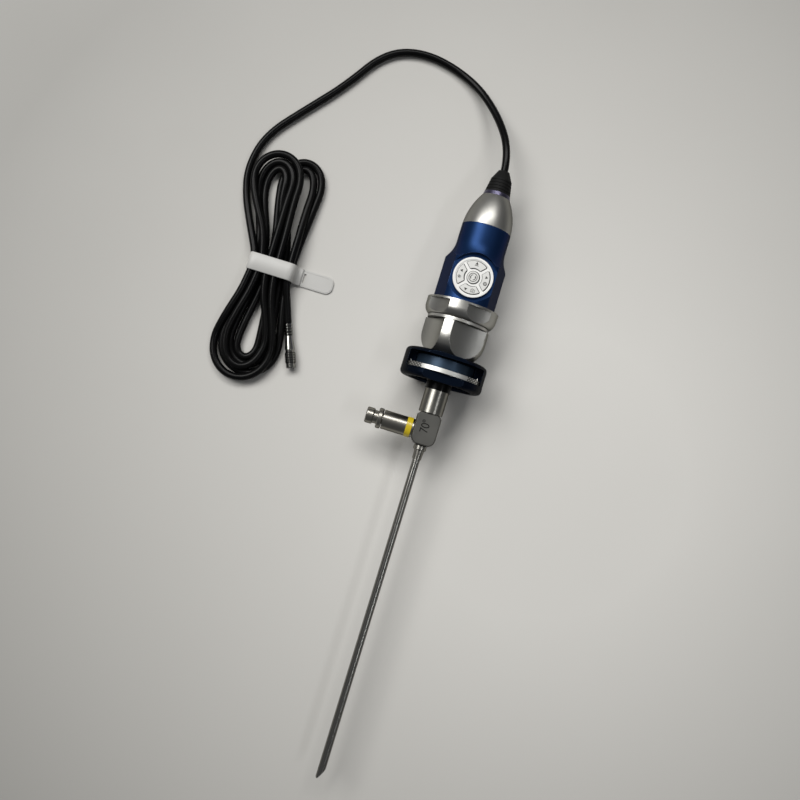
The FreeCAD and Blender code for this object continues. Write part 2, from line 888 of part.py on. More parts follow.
def keypad_bezel():
    """The round bezel with a raised rim, four curved openings and a round one."""
    body = new_body("bezel_body")
    base = sketch_on(body, "XY_Plane", "bezel_outline")
    circle(base, 0, 0, S.bezel_radius)
    pad = body.newObject("PartDesign::Pad", "bezel_pad")
    pad.Profile = base
    bind(pad, "Length", BEZEL_TOP)
    recess = sketch_on(body, "XY_Plane", "bezel_recess_outline", BEZEL_TOP)
    circle(recess, 0, 0, S.bezel_radius - S.bezel_rim)
    pocket(body, recess, "bezel_recess", S.bezel_recess)
    centre = sketch_on(body, "XY_Plane", "centre_opening_outline", BEZEL_TOP)
    circle(centre, 0, 0, S.centre_key_radius + S.slide_gap)
    pocket(body, centre, "centre_opening", BEZEL_TOP)
    opening = sketch_on(body, "XY_Plane", "key_opening_outline", BEZEL_TOP)
    outline(opening, key_outline(S.slide_gap))
    keys = pocket(body, opening, "key_opening", BEZEL_TOP)
    round_pattern(body, keys, opening, "key_openings", 4)
    node(body, "keypad_bezel", y=S.keypad_station, z=AXIS + S.spot_height)


def curved_key(name, angle):
    """One of the four curved keys, with the nub that meets its dome."""
    low = S.slide_gap / 3
    top = BEZEL_TOP - S.bezel_recess + S.key_proud
    cap = padded(name + "_cap", "XY_Plane", key_outline(0), top - low, False)
    move(cap, 0, 0, low)
    nub = upright(name + "_nub", S.key_nub_radius, 0, (S.key_outer + S.key_inner) / 2,
                  nub_bottom(), low - nub_bottom())
    key = fused(name + "_solid", [cap, nub])
    turn(key, (0, 0, 1), angle)
    node(key, name, y=S.keypad_station, z=AXIS + S.spot_height)


def nub_bottom():
    """The nubs' lower ends, which stay clear of the domes when the keys are pressed."""
    dome_top = -S.key_board_pocket + S.key_board_thickness + S.dome_thickness
    return dome_top + S.key_travel + S.running_gap


def centre_key():
    low = S.slide_gap / 3
    top = BEZEL_TOP - S.bezel_recess + S.key_proud
    cap = upright("centre_cap", S.centre_key_radius, 0, 0, low, top - low)
    nub = upright("centre_nub", S.key_nub_radius, 0, 0, nub_bottom(), low - nub_bottom())
    node(fused("centre_key_solid", [cap, nub]), "button_centre", y=S.keypad_station,
         z=AXIS + S.spot_height)


def key_switches():
    """The round key board in its pocket, with a dome under each key."""
    board_low = -S.key_board_pocket
    top = board_low + S.key_board_thickness
    board = upright("key_board_disc", S.key_board_radius, 0, 0, board_low, S.key_board_thickness)
    node(board, "key_board", y=S.keypad_station, z=AXIS + S.spot_height + board_low)
    middle = (S.key_outer + S.key_inner) / 2
    places = [(0, 0), (0, middle), (0, -middle), (middle, 0), (-middle, 0)]
    domes = [upright(f"dome_{number}", S.dome_radius, x, y, top, S.dome_thickness)
             for number, (x, y) in enumerate(places, start=1)]
    node(grouped("dome_set", domes), "key_domes", y=S.keypad_station, z=AXIS + S.spot_height)


def board_carrier():
    """The ring and two rails that hold both circuit boards."""
    ring = pipe("carrier_ring", S.carrier_bore, S.cavity_radius - S.running_gap, S.carrier_front,
                S.carrier_front + S.carrier_thickness)
    rails = [box(f"carrier_rail_{number}", x, S.carrier_front, -(S.rail_drop + S.rail_width),
                 S.rail_width, S.carrier_thickness + S.rail_length, S.rail_width)
             for number, x in enumerate((S.rail_side, -S.rail_side - S.rail_width), start=1)]
    holes = [along_axis(f"carrier_hole_{number}", S.screw_radius + S.running_gap, x,
                        S.carrier_front - 1, z, S.carrier_thickness + 2)
             for number, (x, z) in enumerate(sensor_screw_places(), start=1)]
    holes += [upright(f"rail_hole_{number}", S.screw_radius + S.running_gap, x, y,
                      -(S.rail_drop + S.rail_width + 1), S.rail_width + 2)
              for number, (x, y) in enumerate(main_screw_places(), start=1)]
    node(cut("carrier_cut", fused("carrier_blank", [ring, *rails]), holes), "board_carrier")


def sensor_screw_places():
    """Three screws round the sensor, as x and z."""
    angles = [Formula(repr(float(angle)), float(angle)) for angle in (90, 210, 330)]
    return [(S.screw_circle * cosine(angle), S.screw_circle * sine(angle)) for angle in angles]


def main_screw_places():
    """Four screws near the main board's corners, over the rails, as x and y."""
    x = S.rail_side + S.rail_width / 2
    front = main_board_front() + S.main_screw_inset
    back = main_board_front() + S.main_board_length - S.main_screw_inset
    return [(-x, front), (x, front), (-x, back), (x, back)]


def main_board_front():
    return S.carrier_front + S.carrier_thickness + S.main_board_inset


def boards():
    """The image sensor on its round board, and the main board on the rails."""
    board_front = S.carrier_front - S.board_thickness
    holes = [along_axis(f"sensor_board_hole_{number}", S.screw_radius + S.running_gap, x,
                        board_front - 1, z, S.board_thickness + 2)
             for number, (x, z) in enumerate(sensor_screw_places(), start=1)]
    plate = disc("sensor_board_disc", S.sensor_board_radius, board_front, S.board_thickness)
    node(cut("sensor_board_cut", plate, holes), "sensor_board")
    node(box("sensor_chip", -S.sensor_width / 2, board_front - S.sensor_thickness,
             -S.sensor_height / 2, S.sensor_width, S.sensor_thickness, S.sensor_height),
         "image_sensor", x=-S.sensor_width / 2, y=board_front - S.sensor_thickness,
         z=AXIS - S.sensor_height / 2)
    screws = []
    for number, (x, z) in enumerate(sensor_screw_places(), start=1):
        head = along_axis(f"sensor_screw_head_{number}", S.screw_head, x,
                          board_front - S.screw_head_height, z, S.screw_head_height)
        shank = along_axis(f"sensor_screw_shank_{number}", S.screw_radius, x, board_front, z,
                           S.board_thickness + S.carrier_thickness)
        screws.append(fused(f"sensor_screw_{number}", [head, shank]))
    node(grouped("sensor_screw_set", screws), "sensor_screws")
    main_board()


def main_board():
    """The main board with two chips, its four screws and the cord's header."""
    low, front = -S.rail_drop, main_board_front()
    top = low + S.board_thickness
    plate = box("main_board_plate", -S.main_board_width / 2, front, low, S.main_board_width,
                S.main_board_length, S.board_thickness)
    chip = box("main_chip", -S.chip_width / 2, front + S.main_screw_inset, top, S.chip_width,
               S.chip_length, S.chip_thickness)
    holes = [upright(f"main_board_hole_{number}", S.screw_radius + S.running_gap, x, y, low - 1,
                     S.board_thickness + 2)
             for number, (x, y) in enumerate(main_screw_places(), start=1)]
    node(cut("main_board_cut", fused("main_board_blank", [plate, chip]), holes), "main_board")
    screws = []
    for number, (x, y) in enumerate(main_screw_places(), start=1):
        head = upright(f"main_screw_head_{number}", S.screw_head, x, y, top, S.screw_head_height)
        shank = upright(f"main_screw_shank_{number}", S.screw_radius, x, y, low - S.rail_width,
                        S.rail_width + S.board_thickness)
        screws.append(fused(f"main_screw_{number}", [head, shank]))
    node(grouped("main_screw_set", screws), "board_screws")
    back = front + S.main_board_length
    node(box("header_block", 0, 0, 0, S.header_width, S.header_length, S.header_height),
         "cable_header", x=-S.header_width / 2, y=back - S.header_length, z=AXIS + top)


def sensor_window():
    """The glass that closes the coupler barrel in front of the sensor."""
    node(disc("sensor_window_disc", S.barrel_bore - S.running_gap,
              SPIGOT_BACK - S.window_thickness, S.window_thickness), "sensor_window")


def rear_cone():
    """The bell-shaped rear cone, plugged into the housing and sealed with a ring."""
    gap = S.running_gap
    spigot = S.socket_radius - gap
    spigot_front = HOUSING_BACK - S.cone_spigot
    groove_front = HOUSING_BACK - (S.cone_spigot + S.seal_groove) / 2
    groove_back = groove_front + S.seal_groove
    groove_floor = S.socket_radius - 2 * S.seal_section
    throat = spigot - S.cone_wall
    node(turned("rear_cone_body", [
        (S.relief_root + gap, CONE_BACK),
        (S.relief_root + gap, CONE_BACK - S.relief_root_length),
        (throat, HOUSING_BACK),
        (throat, spigot_front),
        (spigot, spigot_front),
        (spigot, groove_front),
        (groove_floor, groove_front),
        (groove_floor, groove_back),
        (spigot, groove_back),
        (spigot, HOUSING_BACK),
        (S.rear_radius, HOUSING_BACK, S.cone_bow),
        (S.cone_end_radius, CONE_BACK),
    ]), "rear_cone")
    seal = document.addObject("Part::Torus", "seal_ring")
    turn(seal, (1, 0, 0), 90)
    bind(seal, "Radius1", S.socket_radius - S.seal_section - gap / 2)
    bind(seal, "Radius2", S.seal_section - gap / 2)
    node(seal, "rear_seal", y=(groove_front + groove_back) / 2)


def strain_relief():
    """The dark gland ring and the ribbed boot that grips the cord."""
    node(turned("gland_body", [
        (S.relief_root + S.running_gap, CONE_BACK),
        (S.gland_radius, CONE_BACK),
        (S.relief_radius + S.running_gap, GLAND_BACK),
        (S.relief_root + S.running_gap, GLAND_BACK),
    ]), "gland_ring")
    root_front = CONE_BACK - S.relief_root_length
    shoulder = GLAND_BACK + S.relief_taper_length
    corners = [
        (0, root_front),
        (S.relief_root, root_front),
        (S.relief_root, GLAND_BACK),
        (S.relief_radius, GLAND_BACK),
    ]
    ribs = int(S.relief_ribs.value)
    pitch = S.relief_taper_length / (2 * ribs + 1)
    slope = (S.relief_radius - S.relief_shoulder_radius) / (2 * ribs + 1)
    for number in range(ribs):
        for step, depth in ((1, 0), (1, 1), (2, 1), (2, 0)):
            steps = 2 * number + step
            corners.append((S.relief_radius - slope * steps - S.relief_rib_depth * depth,
                            GLAND_BACK + pitch * steps))
    corners += [
        (S.relief_shoulder_radius, shoulder),
        (S.relief_end_radius, RELIEF_BACK),
        (0, RELIEF_BACK),
    ]
    node(turned("relief_body", corners), "strain_relief")


# Viewing scope


def eyepiece():
    """The black eyepiece cup, its cone and neck, and the window in its middle."""
    window_front = CUP_BACK - S.cup_dish_depth - S.window_thickness
    neck_back = NECK_BACK + S.cup_neck_length
    node(turned("eyepiece_body", [
        (S.scope_bore, NECK_BACK),
        (S.cup_neck_radius, NECK_BACK),
        (S.cup_neck_radius, neck_back),
        (S.cup_cone_radius, PLATE_BACK),
        (S.cup_cone_radius, S.cup_front),
        (S.cup_radius, S.cup_front),
        (S.cup_radius, CUP_BACK - S.cup_chamfer),
        (S.cup_radius - S.cup_chamfer, CUP_BACK),
        (S.cup_dish_radius, CUP_BACK),
        (S.cup_window_radius, CUP_BACK - S.cup_dish_depth),
        (S.cup_window_radius, window_front),
        (S.scope_bore, window_front),
    ]), "eyepiece")
    node(disc("eyepiece_window_disc", S.cup_window_radius - S.running_gap, window_front,
              S.window_thickness), "eyepiece_window")
    node(pipe("scope_neck_tube", S.scope_bore, S.neck_radius, NECK_FRONT, NECK_BACK),
         "scope_neck")


def block_outline():
    """The block from above: a rounded nose, straight sides and chamfered rear corners."""
    half, nose, chamfer = S.block_width / 2, S.block_nose_width / 2, S.block_rear_chamfer
    nose_back = BLOCK_FRONT + S.block_nose
    bow = tangent_radius(half - nose, S.block_nose)
    return [
        (-nose, BLOCK_FRONT),
        (nose, BLOCK_FRONT, bow),
        (half, nose_back),
        (half, NECK_FRONT - chamfer),
        (half - chamfer, NECK_FRONT),
        (chamfer - half, NECK_FRONT),
        (-half, NECK_FRONT - chamfer),
        (-half, nose_back, bow),
    ]


def scope_block():
    """The flat-topped block where the light post joins the scope."""
    shoulder = S.block_height / 2 - S.block_edge
    body = padded("block_body", "XY_Plane", block_outline(), 2 * shoulder)
    for side in (1, -1):
        name = "block_bevel_top" if side > 0 else "block_bevel_low"
        rim = sketch_on(body, "XY_Plane", name + "_outline", side * shoulder)
        outline(rim, block_outline())
        bevel = body.newObject("PartDesign::Pad", name)
        bevel.Profile = rim
        bevel.Reversed = side < 0
        bevel.TaperAngle = -45
        bind(bevel, "Length", S.block_edge)
    bores = [
        along_axis("block_bore", S.scope_bore, 0, BLOCK_FRONT + S.tube_root, 0, S.block_length),
        along_axis("block_tube_bore", S.tube_root_radius + S.running_gap, 0, BLOCK_FRONT - 1, 0,
                   S.tube_root + 2),
        across_axis("block_post_bore", S.post_bore, -S.block_width, -S.post_station, 0,
                    S.block_width),
    ]
    node(cut("block_cut", body, bores), "scope_block")


def post_piece(corners, label):
    """A piece turned about the light post's own axis, which points to -X."""
    body = turned(label + "_body", corners)
    turn(body, (0, 0, 1), 90)
    node(body, label, y=-S.post_station)


def light_post():
    """The light post: core, yellow colour ring, sleeve, tip and the fibre end."""
    gap, core = S.running_gap, S.post_core_radius
    start = S.block_width / 2
    ring_start = start + S.post_shoulder
    sleeve_start = ring_start + S.colour_ring_length
    sleeve_end = sleeve_start + S.post_sleeve_length
    collar_start = sleeve_end + S.seat_gap
    groove_start = collar_start + S.post_collar_length
    tip_start = groove_start + S.post_groove_length
    tip_end = tip_start + S.post_tip_length
    glass_start = tip_end - S.post_glass_thickness
    bevel = S.block_edge
    post_piece([
        (S.post_bore, start),
        (S.post_shoulder_radius, start),
        (S.post_shoulder_radius, ring_start),
        (core, ring_start),
        (core, collar_start),
        (S.post_bore, collar_start),
    ], "post_core")
    post_piece([
        (core + gap, ring_start),
        (S.colour_ring_radius, ring_start),
        (S.colour_ring_radius, sleeve_start),
        (core + gap, sleeve_start),
    ], "colour_ring")
    post_piece([
        (core + gap, sleeve_start),
        (S.post_sleeve_radius, sleeve_start),
        (S.post_sleeve_radius, sleeve_end),
        (core + gap, sleeve_end),
    ], "post_sleeve")
    post_piece([
        (S.post_bore, collar_start),
        (S.post_collar_radius - bevel, collar_start),
        (S.post_collar_radius, collar_start + bevel),
        (S.post_collar_radius, groove_start - bevel),
        (S.post_collar_radius - bevel, groove_start),
        (S.post_groove_radius, groove_start),
        (S.post_groove_radius, tip_start),
        (S.post_tip_radius - bevel, tip_start),
        (S.post_tip_radius, tip_start + bevel),
        (S.post_tip_radius, tip_end - bevel),
        (S.post_tip_radius - bevel, tip_end),
        (S.post_glass_radius, tip_end),
        (S.post_glass_radius, glass_start),
        (S.post_bore, glass_start),
    ], "post_tip")
    post_piece([
        (0, glass_start),
        (S.post_glass_radius, glass_start),
        (S.post_glass_radius, tip_end),
        (0, tip_end),
    ], "fibre_window")


def bevel_tool(name):
    """The wedge that slants the tip away from the light post and leaves a narrow blunt nose."""
    radius = S.tube_radius
    past = radius * 2
    slant_start = S.tip_nose - radius
    slope = S.tip_bevel / (radius - slant_start)
    return padded(name, "XY_Plane", [
        (slant_start, TIP),
        (slant_start, TIP - past),
        (past, TIP - past),
        (past, TIP + slope * (past - slant_start)),
    ], 4 * radius)


def insertion_tube():
    """The long steel tube with its collar, optics, light fibres and slanted tip glass."""
    radius, root_radius = S.tube_radius, S.tube_root_radius
    bore = root_radius - S.tube_wall
    root_back = BLOCK_FRONT + S.tube_root - S.running_gap
    step = BLOCK_FRONT - S.collar_step
    node(turned("collar_body", [
        (root_radius + S.running_gap, COLLAR_FRONT),
        (S.collar_end_radius, COLLAR_FRONT),
        (S.collar_end_radius + S.collar_bevel / 2, step - S.collar_bevel),
        (S.collar_radius, step),
        (S.collar_radius, BLOCK_FRONT - S.collar_bevel),
        (S.collar_radius - S.collar_bevel, BLOCK_FRONT),
        (root_radius + S.running_gap, BLOCK_FRONT),
    ]), "shaft_collar")
    tube = turned("outer_tube_blank", [
        (bore, TIP),
        (radius - S.tip_chamfer, TIP),
        (radius, TIP + S.tip_chamfer),
        (radius, COLLAR_FRONT),
        (root_radius, COLLAR_FRONT),
        (root_radius, root_back),
        (bore, root_back),
    ])
    node(cut("outer_tube_cut", tube, [bevel_tool("tube_bevel")]), "outer_tube")
    glass = disc("tip_glass_blank", bore, TIP, S.tip_glass)
    node(cut("tip_glass_cut", glass, [bevel_tool("glass_bevel")]), "tip_window")
    optics_front = TIP + S.tip_glass
    gap = S.running_gap / 2
    fibre_bore = bore - gap - S.fibre_wall
    node(pipe("fibre_bundle", fibre_bore, bore - gap, optics_front, root_back),
         "light_fibres")
    lens_radius = fibre_bore - gap
    lens_bore = lens_radius - S.lens_tube_wall
    window_front = CUP_BACK - S.cup_dish_depth - S.window_thickness
    node(pipe("lens_tube_pipe", lens_bore, lens_radius, optics_front, window_front),
         "lens_tube")
    pitch = (window_front - optics_front) / S.rod_lenses
    rods = [disc(f"rod_lens_{number}", lens_bore - gap,
                 optics_front + pitch * number + S.rod_lens_spacer / 2,
                 pitch - S.rod_lens_spacer)
            for number in range(int(S.rod_lenses.value))]
    node(grouped("rod_lens_set", rods), "rod_lenses")


# Cord, hank, tie and plug


def cord_tube(name, points, radius):
    """A round cord along straight runs joined by arcs as large as the runs allow."""
    points = [Vector(*point) for point in points]
    start, edges, radii, length = points[0], [], [], 0
    for before, corner, after in zip(points, points[1:], points[2:]):
        back, ahead = before - corner, after - corner
        run = 0.45 * min(back.Length, ahead.Length)
        half = (math.pi - back.getAngle(ahead)) / 2
        radii.append(run / math.tan(half))
        first = corner + back.normalize() * run
        last = corner + ahead.normalize() * run
        middle = (first + last) / 2 - corner
        depth = run * math.sin(half) - radii[-1] * (1 - math.cos(half))
        top = corner + middle.normalize() * (radii[-1] / math.cos(half) - radii[-1])
        assert depth > 0
        edges.append(Part.LineSegment(start, first).toShape())
        edges.append(Part.Arc(first, top, last).toShape())
        start = last
    edges.append(Part.LineSegment(start, points[-1]).toShape())
    path = Part.Wire(edges)
    section = Part.Wire(Part.makeCircle(radius, points[0], points[1] - points[0]))
    tube = path.makePipeShell([section], True, True)
    length = path.Length
    expected = math.pi * radius ** 2 * length
    print(f"{name}: {length:.1f} mm, volume {tube.Volume / expected:.4f} of its section times "
          f"length, radii {[round(item, 1) for item in radii]}")
    assert abs(tube.Volume / expected - 1) < 0.01
    return tube


def shaped(name, label, shape):
    """A piece whose solid is worked out here, in the part's own frame."""
    thing = document.addObject("Part::Feature", name)
    thing.Shape = shape
    node(thing, label, z=0)


def cord():
    """The free cord, its hank and the strand that leads to the plug."""
    radius = S.cord_radius.value
    shaped("lead_tube", "cord_lead", cord_tube("cord_lead", LEAD_ROUTE, radius))
    shaped("tail_tube", "cord_tail", cord_tube("cord_tail", TAIL_ROUTE, radius))
    curve = Part.BSplineCurve()
    curve.interpolate(Points=[Vector(x, y, 0) for x, y in HANK_OUTLINE], PeriodicFlag=True)
    face = Part.Face(Part.Wire(curve.toShape()))
    hank = face.extrude(Vector(0, 0, S.hank_height.value))
    gap = S.running_gap.value
    tie_start, tie_width = S.tie_front.value - gap, S.tie_width.value + 2 * gap
    around = Part.makeBox(100, tie_width, 100, Vector(-150, tie_start, -50))
    inner = tie_bore(tie_start, tie_width, gap)
    waist = hank.common(inner)
    hank = hank.cut(around).fuse(waist).removeSplitter()
    shaped("hank_solid", "cord_hank", hank)


def tie_bore(start, width, gap):
    """The room inside the tie's band, less a gap."""
    wall = S.tie_thickness.value + gap
    left, right = S.tie_left.value + wall, S.tie_right.value - wall
    height = S.tie_height.value - 2 * wall
    room = Part.makeBox(right - left, width, height, Vector(left, start, wall))
    corners = [edge for edge in room.Edges if abs(edge.tangentAt(0).y) > 0.9]
    return room.makeFillet(S.tie_corner.value - wall, corners)


def rounded_box(name, left, right, low, high, corner):
    """Corners of a rounded rectangle, in order, for an outline."""
    return [
        (left + corner, low),
        (right - corner, low, corner),
        (right, low + corner),
        (right, high - corner, corner),
        (right - corner, high),
        (left + corner, high, corner),
        (left, high - corner),
        (left, low + corner, corner),
    ]


def cable_tie():
    """The flat strap round the hank's waist, with its tail lying on the table."""
    left, right, top = S.tie_left, S.tie_right, S.tie_height
    wall, corner = S.tie_thickness, S.tie_corner
    body = new_body("tie_band")
    profile = sketch_on(body, "XZ_Plane", "tie_profile", -S.tie_front)
    outline(profile, rounded_box("outer", left, right, 0, top, corner))
    outline(profile, rounded_box("inner", left + wall, right - wall, wall, top - wall,
                                 corner - wall))
    pad = body.newObject("PartDesign::Pad", "tie_pad")
    pad.Profile = profile
    pad.Reversed = True
    bind(pad, "Length", S.tie_width)
    tail = new_body("tie_tail_body")
    flat = sketch_on(tail, "XY_Plane", "tie_tail_outline")
    back, end, bend = S.tie_front + S.tie_width, right + S.tie_tail, S.tie_tail_corner
    outline(flat, [
        (right - corner, S.tie_front),
        (end - bend, S.tie_front, bend),
        (end, S.tie_front + bend),
        (end, back - bend, bend),
        (end - bend, back),
        (right - corner, back),
    ])
    strip = tail.newObject("PartDesign::Pad", "tie_tail_pad")
    strip.Profile = flat
    bind(strip, "Length", wall)
    slot = box("tie_slot", right + S.tie_slot_inset,
               S.tie_front + (S.tie_width - S.tie_slot_length) / 2, -1, S.tie_slot_width,
               S.tie_slot_length, wall + 2)
    node(cut("tie_cut", fused("tie_blank", [body, tail]), [slot]), "cable_tie", z=0)


def plug_piece(thing, label):
    """Places a piece of the plug, which lies on the table at its own angle."""
    thing.Placement = FreeCAD.Placement(Vector(), FreeCAD.Rotation(Vector(0, 0, 1), 1))
    bind(thing, "Placement.Rotation.Angle", S.plug_turn)
    node(thing, label, S.plug_x, S.plug_y, S.plug_radius)


def ridged(start, end, radius, depth, count):
    """Profile corners of a row of ridges between two stations, low at both ends."""
    pitch = (end - start) / (2 * count + 1)
    corners = []
    for number in range(count):
        for step, height in ((1, -1), (1, 0), (2, 0), (2, -1)):
            corners.append((radius + depth * height, start + pitch * (2 * number + step)))
    return corners


def plug():
    """The round metal plug: ringed relief, tapered body, sliding ridged sleeve and contacts."""
    relief_end = S.plug_relief_length
    taper_end = relief_end + S.plug_taper_length
    sleeve_start = taper_end + S.seat_gap + S.plug_sleeve_travel
    sleeve_end = sleeve_start + S.plug_sleeve_length
    rings, groove = int(S.plug_relief_rings.value), S.plug_ring_groove
    relief = [(0, 0), (S.plug_relief_radius - groove, 0)]
    relief += ridged(formula(0), relief_end, S.plug_relief_radius, groove, rings)
    relief += [(S.plug_relief_radius - groove, relief_end), (0, relief_end)]
    plug_piece(turned("plug_relief_body", relief), "plug_relief")
    contact_front = sleeve_end
    plug_piece(turned("plug_core_body", [
        (0, relief_end),
        (S.plug_waist_radius, relief_end),
        (S.plug_core_radius + S.plug_ridge_depth, taper_end),
        (S.plug_core_radius, taper_end),
        (S.plug_core_radius, sleeve_end + S.seat_gap),
        (S.plug_nose_radius, sleeve_end + S.seat_gap),
        (S.plug_nose_radius, S.plug_length),
        (S.plug_core_radius - S.plug_ridge_depth, S.plug_length),
        (S.plug_core_radius - S.plug_ridge_depth, contact_front),
        (0, contact_front),
    ]), "plug_body")
    sleeve_bore = S.plug_core_radius + S.running_gap
    sleeve = [(sleeve_bore, sleeve_start), (S.plug_radius - S.plug_ridge_depth, sleeve_start)]
    sleeve += ridged(sleeve_start, sleeve_end, S.plug_radius, S.plug_ridge_depth,
                     int(S.plug_ridges.value))
    sleeve += [(S.plug_radius - S.plug_ridge_depth, sleeve_end), (sleeve_bore, sleeve_end)]
    plug_piece(turned("plug_sleeve_body", sleeve), "plug_sleeve")
    pins = []
    for number in range(int(S.plug_contacts.value)):
        angle = Formula(repr(360.0 * number / S.plug_contacts.value),
                        360.0 * number / S.plug_contacts.value)
        pins.append(along_axis(f"contact_{number + 1}", S.plug_contact_radius,
                               S.plug_contact_circle * cosine(angle), contact_front,
                               S.plug_contact_circle * sine(angle),
                               S.plug_length - S.seat_gap - contact_front))
    plug_piece(grouped("contact_set", pins), "plug_contacts")


def check(thing):
    """Stops with the thing's name if it failed, or if a cut took nothing away."""
    if {"Invalid", "Error"} & set(thing.State):
        raise RuntimeError(f"{thing.Label} has failed: {thing.State}")
    if thing.TypeId == "PartDesign::Pocket":
        before = thing.BaseFeature.Shape.Volume
        if thing.Shape.Volume > before - 1e-3:
            raise RuntimeError(f"{thing.Label} cuts nothing")


def write_nodes():
    """Checks every object, then writes each piece to its own file."""
    document.recompute()
    for thing in document.Objects:
        check(thing)
    for thing in nodes:
        if thing.Shape.isNull() or not thing.Shape.isValid() or not thing.Shape.Solids:
            raise RuntimeError(f"{thing.Label} has no valid solid")
    os.makedirs("parts", exist_ok=True)
    for thing in nodes:
        thing.Shape.exportStep(f"parts/{thing.Label}.step")
    print(f"{len(nodes)} pieces written")


def main():
    clamp_housing()
    latch_plate()
    latch_pins()
    latch_springs()
    coupler_barrel()
    focus_ring()
    zoom_ring()
    sliding_cell("focus", S.focus_cell_front)
    sliding_cell("zoom", S.zoom_cell_front)
    housing()
    keypad_bezel()
    curved_key("button_up", 0)
    curved_key("button_left", 90)
    curved_key("button_down", 180)
    curved_key("button_right", 270)
    centre_key()
    key_switches()
    sensor_window()
    board_carrier()
    boards()
    rear_cone()
    strain_relief()
    eyepiece()
    scope_block()
    light_post()
    insertion_tube()
    cord()
    cable_tie()
    plug()
    write_nodes()


main()
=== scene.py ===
import math

import bmesh
import bpy
from mathutils import Matrix, Vector


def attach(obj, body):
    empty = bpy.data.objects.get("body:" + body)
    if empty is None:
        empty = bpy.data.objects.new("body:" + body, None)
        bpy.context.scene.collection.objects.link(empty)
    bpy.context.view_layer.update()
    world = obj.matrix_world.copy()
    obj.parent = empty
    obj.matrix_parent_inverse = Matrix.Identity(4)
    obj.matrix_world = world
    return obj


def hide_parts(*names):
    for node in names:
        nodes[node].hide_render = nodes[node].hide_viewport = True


# Looks of an endoscope camera with a rigid scope and a tied hank of cord.
# The optical axis runs along Y, the keypad faces up and the light post points to -X.

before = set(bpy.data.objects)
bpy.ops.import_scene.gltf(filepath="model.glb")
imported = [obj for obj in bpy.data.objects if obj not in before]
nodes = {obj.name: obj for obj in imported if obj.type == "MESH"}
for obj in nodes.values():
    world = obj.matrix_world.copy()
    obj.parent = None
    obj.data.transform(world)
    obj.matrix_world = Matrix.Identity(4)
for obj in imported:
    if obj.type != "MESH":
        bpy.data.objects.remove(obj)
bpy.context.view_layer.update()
scene = bpy.context.scene

MM = 0.001


def in_metres(points):
    return [tuple(value * MM for value in point) for point in points]


def link(thing):
    scene.collection.objects.link(thing)
    return thing


# Short ways to add nodes to a tree


def socket(tree, name, kind, way, value=None):
    made = tree.interface.new_socket(name=name, in_out=way, socket_type=kind)
    if value is not None:
        made.default_value = value
    return made


def noise(tree, vector, scale, detail):
    node = tree.nodes.new("ShaderNodeTexNoise")
    node.inputs["Detail"].default_value = detail
    tree.links.new(vector, node.inputs["Vector"])
    tree.links.new(scale, node.inputs["Scale"])
    return node.outputs["Fac"]


def map_range(tree, value, low, high, new_low, new_high):
    node = tree.nodes.new("ShaderNodeMapRange")
    for name, given in zip(("Value", "From Min", "From Max", "To Min", "To Max"),
                           (value, low, high, new_low, new_high)):
        if isinstance(given, (int, float)):
            node.inputs[name].default_value = given
        else:
            tree.links.new(given, node.inputs[name])
    return node.outputs["Result"]


def math_node(tree, operation, first, second=None):
    node = tree.nodes.new("ShaderNodeMath")
    node.operation = operation
    for place, given in enumerate((first, second)):
        if isinstance(given, (int, float)):
            node.inputs[place].default_value = given
        elif given is not None:
            tree.links.new(given, node.inputs[place])
    return node.outputs[0]


def mix_colour(tree, factor, first, second):
    node = tree.nodes.new("ShaderNodeMix")
    node.data_type = "RGBA"
    for place, given in ((0, factor), (6, first), (7, second)):
        if isinstance(given, (int, float)):
            node.inputs[place].default_value = given
        elif isinstance(given, tuple):
            node.inputs[place].default_value = given
        else:
            tree.links.new(given, node.inputs[place])
    return node.outputs[2]


# Camera: above the table, as the photo was taken

CAMERA_PLACE = (-17.5, -33.6, 473.1)
CAMERA_TILT = 2.2
CAMERA_RIGHT = (0.956, 0.294, 0.0)
LENS = 38.52
SENSOR = 36
NEAREST = 0.01          # metres between which the camera sees
FARTHEST = 20


def add_camera():
    """A camera that looks nearly straight down, turned as in the photo."""
    tilt = math.radians(CAMERA_TILT)
    forward = Vector((0, math.sin(tilt), -math.cos(tilt)))
    right = Vector(CAMERA_RIGHT)
    right = (right - forward * right.dot(forward)).normalized()
    up = right.cross(forward)
    data = bpy.data.cameras.new("camera")
    data.sensor_width = SENSOR
    data.lens = LENS
    data.clip_start = NEAREST
    data.clip_end = FARTHEST
    camera = link(bpy.data.objects.new("camera", data))
    turn = Matrix((right, up, -forward)).transposed().to_4x4()
    camera.matrix_world = Matrix.Translation(Vector(CAMERA_PLACE) * MM) @ turn
    scene.camera = camera


# Cord: one spline from the gland through the hank to the plug

CORD_RADIUS = 2.05
CORD_STEPS = 8
CORD_SIDES = 6
LEAD_POINTS = [
    (0.0, 117.0, 19.5),
    (-0.8, 129.2, 19.4),
    (-12.5, 150.0, 10.0),
    (-30.8, 167.1, 2.5),
    (-59.0, 174.8, 2.1),
    (-81.8, 168.3, 2.1),
    (-98.3, 143.0, 2.1),
    (-113.8, 125.2, 2.1),
    (-131.8, 104.0, 2.1),
    (-136.2, 84.0, 2.1),
    (-132.6, 68.0, 2.3),
    (-124.5, 52.0, 4.6),
]
TAIL_POINTS = [
    (-96.5, 33.4, 7.15),
    (-95.6, 26.0, 6.2),
    (-91.9, 15.5, 3.6),
    (-88.9, 6.9, 3.05),
]

TIE_MIDDLE = 33.4       # where the strap holds the hank, along Y
TIE_HALF = 3.5
STRAND_HIGH = 7.15      # heights of the strands in the strap
STRAND_LOW = 3.1
ON_TABLE = 2.1
OVER_ONE = 6.2
CLIMBING = 5.3
TAIL_COLUMN = -96.5
COLUMNS = [-116.3 + 4.04 * place for place in range(6)]

